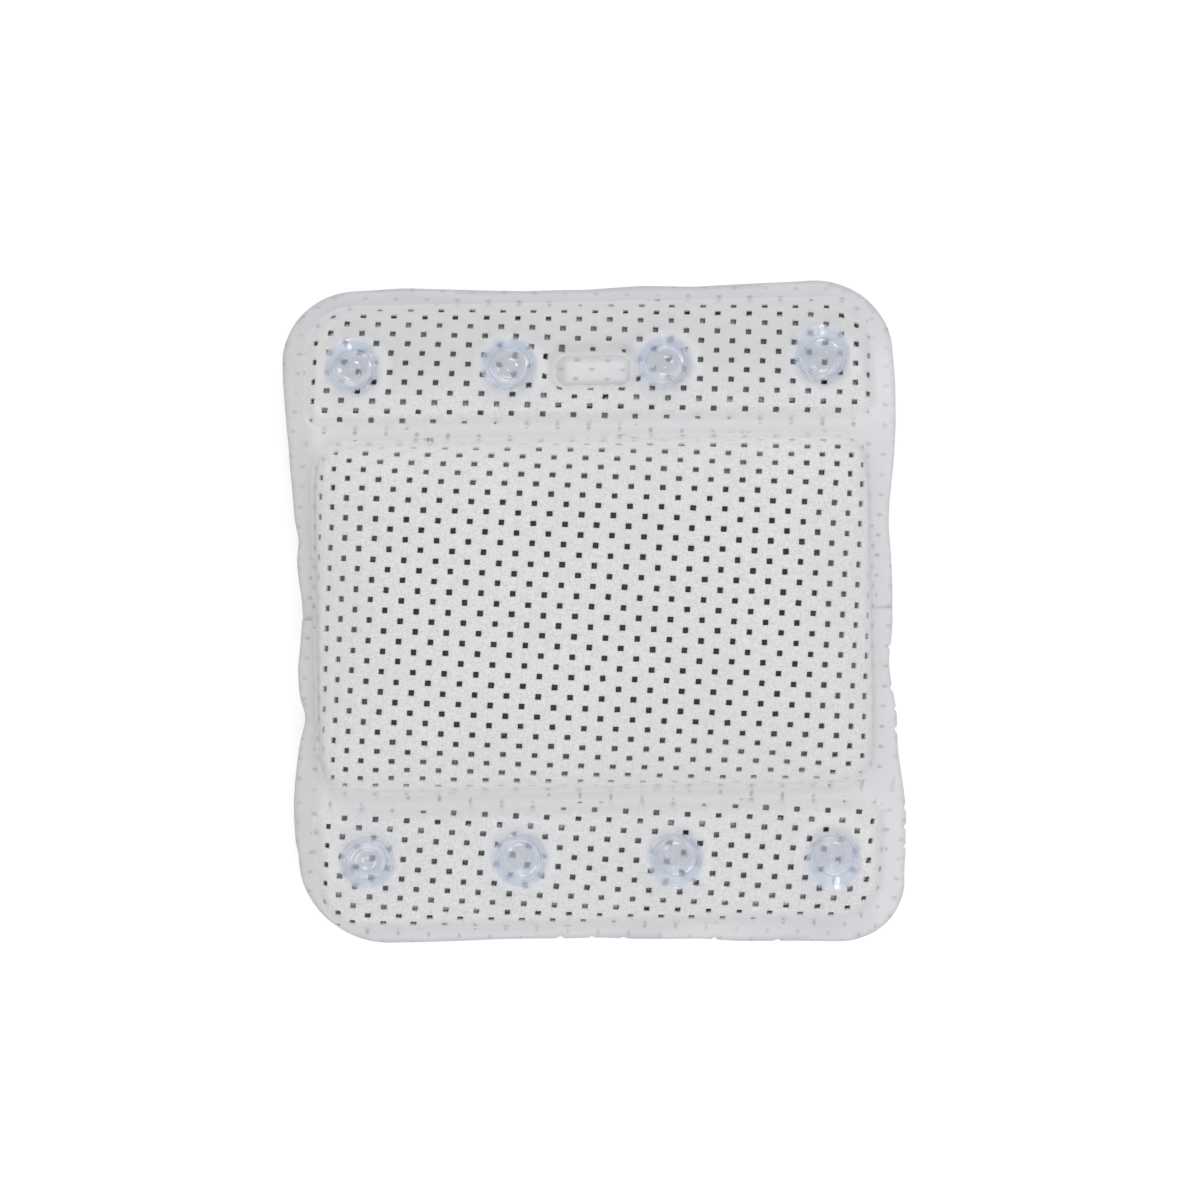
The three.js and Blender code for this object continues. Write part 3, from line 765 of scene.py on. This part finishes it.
def foamDepth(name, form, places):  # a flap's front sheet carries its foam, hollow at the cups' knobs
    x, y = reached(form, places)
    height = form["height"](*form["clip"](x, y))
    if name.startswith("cushion"):
        return np.minimum(sheet["thickness"], height - sheet["clear"])
    near = 1 - smoothStep(cupDistance(name, x, y), *flapFoam["cupReach"])
    deep = np.minimum(flapFoam["rear"], height - sheet["clear"])
    if name.endswith("Front"):
        deep = 2 * height - deep - flapFoam["gap"]
    return deep + (flapFoam["atCup"] - deep) * near


def pullCover(name, seed, fill, body, node):
    pull = pulls[name]
    form, half = pull["form"], sheet["holeSize"] / 2
    offset = flatPoints[:, :2] - flatCentres
    far = np.abs(offset).max(1)
    near = 1 - smoothStep(far - half, *punch["moved"])

    def pulled(flat):
        return (np.array(pull["start"]) + flat[:, :1] / lattice["along"] * np.array(pull["along"])
                + flat[:, 1:] / lattice["across"] * np.array(pull["across"]))

    centres, which = np.unique(np.round(flatCentres, 2), axis=0, return_inverse=True)
    which = which.ravel()
    chance = np.random.default_rng(seed)  # no two holes are punched quite alike
    size = chance.uniform(punch["smallest"], punch["largest"], (len(centres), 2))
    astray = chance.normal(0, punch["astray"], (len(centres), 2))
    turned = np.radians(chance.normal(0, punch["turned"], len(centres)))
    x, y = form["clip"](*reached(form, pulled(centres)))
    along = form["height"](x, y) - pillow["foot"] + (1 - np.minimum(form["level"](x, y), 1)) * form["rim"]
    pinch = smoothStep(along, *form["openFrom"])[:, None]
    opened = smoothStep(along, *form["shutBelow"])[:, None]
    size *= punch["narrowest"] + (1 - punch["narrowest"]) * pinch
    size *= punch["shutTo"] + (1 - punch["shutTo"]) * opened
    outward, flatter = towardsRim(form, x, y)[which], ((1 - punch["pinchedTo"]) * (1 - pinch) * opened)[which]
    cosine, sine = np.cos(turned)[which], np.sin(turned)[which]
    spun = np.stack((offset[:, 0] * cosine - offset[:, 1] * sine, offset[:, 0] * sine + offset[:, 1] * cosine), 1)
    punched = spun * size[which]
    punched += astray[which] - outward * flatter * (punched * outward).sum(1)[:, None]
    offset = offset * (1 - near[:, None]) + punched * near[:, None]
    places = pulled(flatCentres + offset)
    points, inside = drape(form, places, flatPoints[:, 2], foamDepth(name, form, places))
    points += movement(blown[name], places)
    table = punch["overTable"] - flatPoints[:, 2] * punch["pressed"]
    points[:, 2] = np.maximum(points[:, 2], table)
    x, y = reached(form, places)
    nearHole = 1 - smoothStep(far, half, half + punch["darkWithin"])
    shares = {"nearHole": nearHole, "shut": nearHole * (1 - opened[which, 0]) * inside,
              "nearWeld": 1 - smoothStep(form["toRim"](x, y), 0, punch["pressedWithin"]),
              "thin": 1 - smoothStep(form["height"](*form["clip"](x, y)), *punch["thinBelow"])}
    if name.endswith("FlapRear"):
        # the ring round each cup where the sheet's colour is painted lighter
        shares["nearCup"] = hump(cupDistance(name, x, y), *punch["paintedLightRoundCup"])
    faces = flatFaces[inside[flatFaces].any(1)]
    used, faces = np.unique(faces, return_inverse=True)
    cover = buildMesh(name + "Cover", points[used], faces.reshape(-1, 4), foamSheet, flatPoints[used, :2],
                      {kind: values[used] for kind, values in shares.items()}, closeWithin=punch["rimJoin"])
    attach(cover, body)
    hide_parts(node)


for name, body, seeds, fill in (("cushion", "cushion", (3, 5), 0.85), ("upperFlap", "upper_flap", (7, 11), 0.4),
                                ("lowerFlap", "lower_flap", (13, 17), 0.4)):
    pullCover(name + "Rear", seeds[0], fill, body, body + "_rear_sheet")
    pullCover(name + "Front", seeds[1], fill, body, body + "_front_sheet")
print("covers pulled over the pads")


# Dark foam inside the cushion
core = {"grid": 4.5, "under": 3.3, "softFoot": 4, "blown": 0.9, "rimJoin": 0.05}


def fillCushion():
    rear, front = (pulls[name]["form"] for name in ("cushionRear", "cushionFront"))
    x, y = np.meshgrid(*(np.arange(-half, half + core["grid"], core["grid"]) for half in rear["half"]))
    cells = cellsOf(x.shape)
    x, y = x.ravel(), y.ravel()
    inside = rear["level"](x, y) < 1
    x, y = rear["clip"](x, y, 0)
    rise = smoothStep((1 - rear["level"](x, y)) * rear["rim"], 0, core["softFoot"])
    cells = cells[inside[cells].any(1)]
    layers = []
    for side, form, more in ((1, rear, core["blown"] * bulge(x, y, rear["half"])), (-1, front, 0)):
        out = side * rise * (form["height"](x, y) - core["under"] + more)
        layers.append(np.stack((x, y, pillow["weldMiddle"] + out), 1))
    used, faces = np.unique(np.concatenate((cells, cells + len(x))), return_inverse=True)
    foam = buildMesh("coreFoam", np.concatenate(layers)[used], faces.reshape(-1, 4), darkFoam,
                     weldWithin=core["rimJoin"], closeWithin=core["rimJoin"])
    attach(foam, "cushion")
    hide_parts("cushion_core")


fillCushion()
print("core filled")


# Pressed weld bands, flat first: x and the distance from the pillow's middle line. An edge's listed changes are
# pairs of a place and how far out, or up, the edge lies there.
weld = {"waist": 313, "fold": 324, "rim": 327, "rimFrom": 38.5, "flapLength": 81.5, "half": 0.9, "edgeHalf": 0.45,
        "tuck": 2.4, "edgeStep": 1.5, "openingStep": 2.5, "grid": 3.0, "bend": 2.0, "hinge": 0.35, "hingeWidth": 1.6,
        "edgeThin": 2.5, "rippleRise": 0.22, "rippleWithin": 12, "rippleFades": 8, "rippleWaves": (0.31, 0.11),
        "swellRise": 0.16, "swellWaves": ((0.23, 1.7), (0.17, 0.6)), "calm": 10, "boldWithin": (3, 9),
        "foldSlits": (4, 8), "upperSlits": 0.45, "tipSlits": (157, 167), "sideSlits": 4, "patternTurns": (88, 98),
        "samples": 400, "smoothed": 7, "cornerPoints": 26, "cornerGap": 2, "quarterTurn": 1.57,
        "clearOfEdge": 0.55, "precision": 1e-4}
edges = {
    "upper": {
        "corners": (39, 41), "end": 1,
        "left": ((0, -1.6), (12, -1.0), (22, 0.4), (32, 0.8), (42, -1.5), (53, 0.4), (80, 0), (95, -0.8),
            (115, 0.2), (132, 0.8)),
        "right": ((0, 2.4), (10, 2.5), (26, 1.8), (46, 0), (57, 0.1), (78, 1.1), (100, 0.6), (120, 0.6),
            (138, -0.6)),
        "tip": ((-125, 0.4), (-100, 1.5), (-57, -0.5), (-36, -1.6), (0, -1.4), (29, -0.1), (60, -1.0),
            (94, 0.1), (120, 1.0)),
        "leftLift": ((0, 1.4), (14, 0.5), (28, -1.0), (42, 1.8), (58, -0.6), (80, 0.4), (97, 0)),
        "rightLift": ((0, -1.0), (20, 0.8), (44, -0.8), (66, 0.6), (97, 0)),
        "nicks": ()},
    "lower": {
        "corners": (50, 32), "end": -1,
        "left": ((0, -1.2), (11, 0.1), (27, 1.6), (41, 0.2), (48, -2.5), (53, -3.8), (60, -2.0), (69, -0.3),
            (85, 0.4), (106, 0), (118, -0.5), (128, -2.6)),
        "right": ((0, 2.4), (8, 2.2), (17, 1.2), (25, -0.6), (33, -1.0), (44, 0.4), (55, 1.7), (76, 0.1),
            (97, 0.8), (110, 1.6), (130, 0.6), (142, -0.2)),
        "tip": ((-115, -0.8), (-75, -1.2), (-43, -1.7), (0, -1.2), (22, -0.1), (54, 0.6), (75, 2.3),
            (97, 2.8), (130, 3.6)),
        "leftLift": ((0, 1.4), (16, -0.8), (34, 0.6), (53, 2.6), (70, -0.8), (97, 0)),
        "rightLift": ((0, -1.0), (18, 0.4), (32, 1.8), (50, -0.8), (76, 0.6), (97, 0)),
        "nicks": (("right", 21, 1.1), ("right", 43, 1.4), ("right", 54, 1.2), ("right", 65, 1.6),
            ("right", 107, 1.0), ("right", 118, 1.3), ("right", 129, 1.2), ("tip", -22, 1.6),
            ("tip", -5, 1.2), ("tip", 12, 1.0), ("tip", 61, 1.4), ("tip", 95, 1.1))}}


def along(pairs, place):  # a smooth value along an edge, from a few listed ones
    places, values = np.array(pairs, float).T
    fine = np.linspace(places[0], places[-1], weld["samples"])
    spread = (places[-1] - places[0]) / weld["samples"]
    width = max(int(weld["smoothed"] / spread), 1)
    padded = np.pad(np.interp(fine, places, values), width, mode="edge")
    window = np.hanning(2 * width + 1)
    return np.interp(place, fine, np.convolve(padded, window / window.sum(), mode="valid"))


def sideLine(distance):  # half the pillow's width before the listed changes
    folded = weld["waist"] + (weld["fold"] - weld["waist"]) * (distance / pillow["foldLine"]) ** 2
    beyond = weld["fold"] + (weld["rim"] - weld["fold"]) * (distance - pillow["foldLine"]) / weld["rimFrom"]
    return np.where(distance < pillow["foldLine"], folded, np.minimum(beyond, weld["rim"])) / 2


def nickDepth(shape, edge, place):  # how deep the small cuts are along one edge
    return sum(deep * np.maximum(1 - (np.abs(place - middle) / weld["edgeStep"]) ** 2, 0)
               for name, middle, deep in shape["nicks"] if name == edge)


def outerEdge(shape):  # from the middle of the right side over the flap to the left
    last = pillow["foldLine"] + weld["flapLength"]
    paths = []
    for name, radius, sign in (("right", shape["corners"][1], 1), ("left", shape["corners"][0], -1)):
        side = np.arange(0, last - radius, weld["edgeStep"])
        turn = np.linspace(0, math.pi / 2, int(radius * weld["quarterTurn"] / weld["edgeStep"]))[:-1]
        centre = weld["rim"] / 2 - radius
        x = np.concatenate((sideLine(side), centre + radius * np.cos(turn)))
        y = np.concatenate((side, last - radius + radius * np.sin(turn)))
        out = np.concatenate((0 * side, turn))
        first, final = shape[name][-1][1], (shape["tip"][-1] if sign > 0 else shape["tip"][0])[1]
        push = np.concatenate((along(shape[name], side), first + (final - first) * turn / (math.pi / 2)))
        push -= nickDepth(shape, name, y) * (x > centre)
        paths.append((sign * (x + np.cos(out) * push), y + np.sin(out) * push))
    x = np.arange(weld["rim"] / 2 - shape["corners"][1], shape["corners"][0] - weld["rim"] / 2, -weld["edgeStep"])
    tip = (x, last + along(shape["tip"], x) - nickDepth(shape, "tip", x))
    left = (paths[1][0][::-1], paths[1][1][::-1])
    return np.stack([np.concatenate(part) for part in zip(paths[0], tip, left)], 1)


def cushionOpening():  # the upper half of the cushion's outline, tucked in, left to right
    halfX, halfY, shoulder = cushion["length"] / 2, cushion["width"] / 2, cushion["shoulder"]
    turn = np.linspace(0, math.pi / 2, weld["cornerPoints"])
    power = 2 / cushion["cornerPower"]
    x = halfX - shoulder + shoulder * np.cos(turn) ** power - weld["tuck"]
    y = halfY - shoulder + shoulder * np.sin(turn) ** power - weld["tuck"]
    sideY = np.arange(0, y[0] - weld["cornerGap"], weld["openingStep"])
    topX = np.arange(x[-1] - weld["cornerGap"], -x[-1] + weld["cornerGap"], -weld["openingStep"])
    right = np.concatenate((np.stack((np.full(len(sideY), x[0]), sideY), 1), np.stack((x, y), 1)))
    loop = np.concatenate((right, np.stack((topX, np.full(len(topX), y[-1])), 1), (right * (-1, 1))[::-1]))
    return loop[::-1]


def boxLoop(middleX, middleY, halfX, halfY, radii, step=weld["openingStep"]):  # radii near the fold, at the end
    loop = []
    for signX, signY in ((1, -1), (1, 1), (-1, 1), (-1, -1)):
        radius = radii[0] if signY < 0 else radii[1]
        first = math.atan2(signY, signX) - math.pi / 4
        count = max(int(radius * weld["quarterTurn"] / step), 3)
        for turn in np.linspace(first, first + math.pi / 2, count):
            loop.append((middleX + signX * (halfX - radius) + radius * math.cos(turn),
                         middleY + signY * (halfY - radius) + radius * math.sin(turn)))
    return fineLoop(np.array(loop), step)


def fineLoop(loop, step):  # extra points on the long stretches
    fine = []
    for first, last in zip(loop, np.roll(loop, -1, axis=0)):
        parts = max(int(np.hypot(*(last - first)) / step), 1)
        fine += [first + (last - first) * k / parts for k in range(parts)]
    return np.array(fine)


def within(points, loop):  # which points lie inside a closed loop
    inside = np.zeros(len(points), bool)
    x, y = points.T
    for (x1, y1), (x2, y2) in zip(loop, np.roll(loop, -1, axis=0)):
        crossing = (y1 > y) != (y2 > y)
        if crossing.any():
            inside ^= crossing & (x < (x2 - x1) * (y - y1) / (y2 - y1 + 1e-12) + x1)
    return inside


def fillFlat(outer, openings, grid):  # a fine triangle mesh between the loops
    loops = [outer, *openings]

    def filled(points):
        return within(points, outer) & ~np.any([within(points, loop) for loop in openings], axis=0)

    low, high = outer.min(0), outer.max(0)
    x, y = np.meshgrid(np.arange(low[0], high[0], grid), np.arange(low[1], high[1], grid))
    x = x + (np.arange(len(x)) % 2 * grid / 2)[:, None]
    inner = np.stack((x.ravel(), y.ravel()), 1)
    inner, border = inner[filled(inner)], np.concatenate(loops)
    inner = inner[nearestOf(border)(inner)[1] > grid * weld["clearOfEdge"]]
    drawn, start = [], 0
    for loop in loops:
        drawn += [(start + k, start + (k + 1) % len(loop)) for k in range(len(loop))]
        start += len(loop)
    made = delaunay_2d_cdt([Vector(p) for p in np.concatenate((border, inner))], drawn, [], 0, weld["precision"])
    points, faces = np.array([tuple(p) for p in made[0]]), np.array(made[2])
    faces = faces[filled(points[faces].mean(1))]
    steps = np.concatenate((faces[:, [0, 1]], faces[:, [1, 2]], faces[:, [2, 0]])).tolist()
    known = {(first, last) for first, last in steps}
    return points, faces, [(first, last) for first, last in steps if (last, first) not in known]


def pressPiece(name, points, faces, rims, shape, flat, shares):  # shape(side) gives both faces of a thin solid
    count = len(points)
    sheets = [tuple(face) for face in faces] + [tuple(face[::-1] + count) for face in faces]
    sheets += [(a, b, b + count, a + count) for a, b in rims]
    return buildMesh(name, np.concatenate((shape(1), shape(-1))), sheets, pressedWeld, np.tile(flat, (2, 1)),
                     {kind: np.tile(values, 2) for kind, values in shares.items()}, 0)


def latticePlaces(points, pull):  # where a place of the pillow falls in the hole pattern
    steps = np.array((pull["along"], pull["across"])).T
    found = np.linalg.solve(steps, (points - np.array(pull["start"])).T).T
    return found * (lattice["along"], lattice["across"])


def bandPlaces(points, row, end):  # the cushion's hole pattern runs over into the flap's
    flapStart = np.array((0, pillow["foldLine"] + flapMiddle))

    def both(places):
        return (latticePlaces(places * (1, end), pulls["cushionRear"]),
                latticePlaces(places - flapStart, pulls[row + "FlapRear"]) * (1, end))

    first, last = both(np.array([(0.0, pillow["foldLine"])]))
    apart = tileCentres(last - first)  # a whole number of holes
    first, last = both(points)
    share = smoothStep(points[:, 1], *weld["patternTurns"])[:, None]
    return first * (1 - share) + (last - apart) * share


def weldBand(row):
    shape, end = edges[row], edges[row]["end"]
    edge, waist = outerEdge(shape), cushionOpening()
    opening = boxLoop(0, pillow["foldLine"] + flapMiddle, flap["length"] / 2 - weld["tuck"],
                      flap["width"] / 2 - weld["tuck"], (flap["foldCorner"], flap["endCorner"]))
    points, faces, rims = fillFlat(np.concatenate((edge, waist)), [opening], weld["grid"])
    toEdge, toPad = nearestOf(edge)(points)[1], nearestOf(np.concatenate((waist, opening)))(points)[1]

    def form(side):
        x, distance = points.T
        past, bend = distance - pillow["foldLine"], weld["bend"]
        turned = np.where(past < -bend, 0, np.where(past > bend, past, (past + bend) ** 2 / (4 * bend)))
        tilt = np.clip((past + bend) / (2 * bend), 0, 1)
        thick = weld["edgeHalf"] + (weld["half"] - weld["edgeHalf"]) * smoothStep(toEdge, 0, weld["edgeThin"])
        thick = thick - weld["hinge"] * np.exp(-(past / weld["hingeWidth"]) ** 2)
        toSide = sideLine(np.minimum(distance, pillow["foldLine"])) - 1
        beside = smoothStep(np.abs(x), cushion["length"] / 2 - 2, toSide)
        lift = np.where(x > 0, along(shape["rightLift"], distance), along(shape["leftLift"], distance))
        lift = lift * beside * (past < 0)
        waveY, waveX = weld["rippleWaves"]
        ripple = weld["rippleRise"] * np.sin(distance * waveY + x * waveX)
        ripple *= smoothStep(weld["rippleWithin"] - toEdge, 0, weld["rippleFades"])
        (swellX, startX), (swellY, startY) = weld["swellWaves"]
        ripple += weld["swellRise"] * np.sin(x * swellX + startX) * np.sin(distance * swellY + startY)
        out = side * thick + (lift + ripple) * smoothStep(toPad, weld["tuck"] + pillow["flange"], weld["calm"])
        y = distance - (1 - pillow["cosine"]) * turned + pillow["sine"] * tilt * out
        z = pillow["weldMiddle"] - pillow["sine"] * turned + (1 + (pillow["cosine"] - 1) * tilt) * out
        return np.stack((x, end * y, z), 1)

    fold = 1 - smoothStep(np.abs(points[:, 1] - pillow["foldLine"]), *weld["foldSlits"])
    tip = smoothStep(points[:, 1], *weld["tipSlits"]) * (end < 0)
    inner = 1 - smoothStep(np.abs(points[:, 0]), flap["length"] / 2 - weld["sideSlits"], flap["length"] / 2)
    upright = np.maximum(fold * (weld["upperSlits"] if end > 0 else 1), tip) * inner
    band = pressPiece(row + "WeldBand", points, faces, rims, form, bandPlaces(points, row, end), {
        "uprightSlits": upright, "boldSlits": 1 - smoothStep(toPad, *weld["boldWithin"])})
    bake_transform(band)
    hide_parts(row + "_fold_weld", row + "_flap_rim_weld", "left_side_weld", "right_side_weld")


for row in edges:
    weldBand(row)
print("weld bands pressed")


# Tack weld: the pressed window in the upper flap, with its raised patch
def tackWeld():
    loop = boxLoop(tack["x"], tack["row"], tack["length"] / 2 + tack["tuck"], tack["width"] / 2 + tack["tuck"],
                   (tack["corner"], tack["corner"]), tack["edgeStep"])
    points, faces, rims = fillFlat(loop, [], tack["grid"])
    x, y = points.T
    toPatch, _ = boxDistance(x - tack["x"] - tack["patchX"], y - tack["row"] - tack["patchRow"],
                             tack["patchLength"] / 2, tack["patchWidth"] / 2, tack["patchCorner"])
    patch = 1 - smoothStep(toPatch, *tack["patchEdge"])

    def form(side):
        sag = tack["sag"] * np.sin(x * tack["sagWaves"][0]) * np.sin(y * tack["sagWaves"][1])
        return flapLine(x, y, side * tack["half"] + (tack["patchRise"] * patch + sag if side > 0 else 0), 1)

    flat = latticePlaces(points - (0, flapMiddle), pulls["upperFlapRear"])
    window = pressPiece("upperTackWindow", points, faces, rims, form, flat, {
        "boldSlits": np.full(len(points), tack["bold"]), "foamPatch": patch * tack["foam"], "paintedFrameShade": 1 - patch})
    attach(window, "upper_flap")
    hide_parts("upper_flap_tack_weld")


tackWeld()
print("tack weld pressed")


# Suction cups
cupForm = {"sides": 72, "pivot": 4.0, "reach": 11.3, "leansFrom": 3,
           "skirt": (8.8, 11, 13.6, 14.6), "neck": (2.2, 3, 3.2, 4.4), "lip": (13.6, 14.8),
           "dish": ((0, 9.6), (1.4, 9.55), (2.2, 9.6), (2.8, 9.8), (3.4, 9.7), (4.2, 9.45), (5.2, 9.4), (6.2, 9.5),
                    (7.0, 9.72), (7.7, 10.02), (8.4, 10.2), (9.0, 10.12), (9.6, 9.86), (10.1, 9.76), (10.7, 9.95),
                    (11.4, 10.6), (12.4, 11.9), (13.4, 13.4), (14.2, 14.6), (14.9, 15.2), (15.2, 15.5)),
           "back": ((15.35, 15.3), (15.0, 14.9), (14.0, 13.7), (12.6, 12.2), (11.0, 10.3), (9.8, 8.8), (8.6, 7.7),
                    (7.0, 6.7), (5.9, 6.0), (5.5, 5.6), (4.6, 5.45), (2.6, 5.4), (2.6, 1.6), (4.4, 1.45), (5.7, 1.1),
                    (6.0, 0.3), (5.8, -0.6), (4.6, -1.15), (2.4, -1.3), (0, -1.3))}


def suctionCup(name, x, row, shift, tilt, end, body):
    profile, sides = cupForm["dish"] + cupForm["back"], cupForm["sides"]
    tiltX, tiltY = (math.sin(math.radians(angle)) for angle in tilt)
    turn = np.tile(np.arange(sides) * 2 * math.pi / sides, len(profile))
    radii, out = (np.repeat(values, sides) for values in np.array(profile).T)
    across, away = radii * np.cos(turn), radii * np.sin(turn)
    bent = np.clip((out - cupForm["pivot"]) / cupForm["reach"], 0, 1)
    lower = (across * tiltX + away * tiltY) * np.clip((out - cupForm["pivot"]) / cupForm["leansFrom"], 0, 1)
    shares = {"skirt": hump(radii, *cupForm["skirt"]) + 0.5 * hump(radii, *cupForm["neck"]),
              "lip": smoothStep(radii, *cupForm["lip"])}
    laid = flapLine(x + across + bent * shift[0], row + away + bent * shift[1], out - lower, end)
    cup = buildMesh(name, laid, tubeFaces(len(profile), sides), clearVinyl, None, shares, 0.01)
    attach(cup, body)
    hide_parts(body)


for row, end in (("upper", 1), ("lower", -1)):
    for number, (x, y) in enumerate(cupPlaces(row)):
        suctionCup(f"{row}SuctionCup{number + 1}", x, y, cups["shifts"][row][number], cups["tilts"][row][number],
                   end, f"{row}_cup_{number + 1}")
print("suction cups moulded")


# Floor, world and lamps
studio = {"floor": 3.0, "floorColour": 0.62, "floorGlow": 0.56, "world": 0.80, "lampWidth": 0.42, "lampDepth": 0.28,
          "lamps": {"farRightLamp": (3.2, (0.45, 1.18, 1.29)), "farLamp": (3.0, (-0.08, 1.38, 0.95)),
                    "nearRightLamp": (2.6, (0.45, -1.18, 1.29)), "nearLamp": (2.2, (-0.08, -1.38, 0.95))}}


def studioFloor():
    half = studio["floor"]
    mesh = bpy.data.meshes.new("floor")
    mesh.from_pydata([(-half, -half, 0), (half, -half, 0), (half, half, 0), (-half, half, 0)], [], [(0, 1, 2, 3)])
    finish = Finish("paleFloor", (1, 1, 1))
    camera, glossy, transmission = (finish.node("LightPath", None, None, output) for output in (0, 3, 6))
    seen = camera.maths("MAXIMUM", glossy).maths("MAXIMUM", transmission)
    plain = finish.node("BsdfDiffuse", None, {"Color": (*[studio["floorColour"]] * 3, 1)})
    glow = finish.node("Emission", None, {"Color": (1, 1, 1, 1), "Strength": seen * studio["floorGlow"]})
    mesh.materials.append(finish.done(finish.node("AddShader", None, {0: plain, 1: glow})))
    addObject("floor", mesh)


def studioLight():
    world = bpy.data.worlds.new("studio")
    world.use_nodes = True
    sky = Nodes(world.node_tree)
    camera, transmission = (sky.node("LightPath", None, None, ray + " Ray")
                            for ray in ("Is Camera", "Is Transmission"))
    strength = sky.node("MapRange", None, {"Value": camera.maths("MAXIMUM", transmission),
                                           "To Min": studio["world"]})
    white = sky.node("Background", None, {"Color": (1, 1, 1, 1), "Strength": strength})
    sky.node("OutputWorld", None, {"Surface": white})
    bpy.context.scene.world = world
    for name, (energy, place) in studio["lamps"].items():
        data = bpy.data.lights.new(name, "AREA")
        data.energy, data.shape = energy, "RECTANGLE"
        data.size, data.size_y = studio["lampWidth"], studio["lampDepth"]
        lamp = addObject(name, data)
        lamp.location = place
        lamp.rotation_euler = (-Vector(place)).to_track_quat("-Z", "Y").to_euler()


studioFloor()
studioLight()
bpy.context.scene.view_settings.view_transform = "Standard"
print("studio lit")
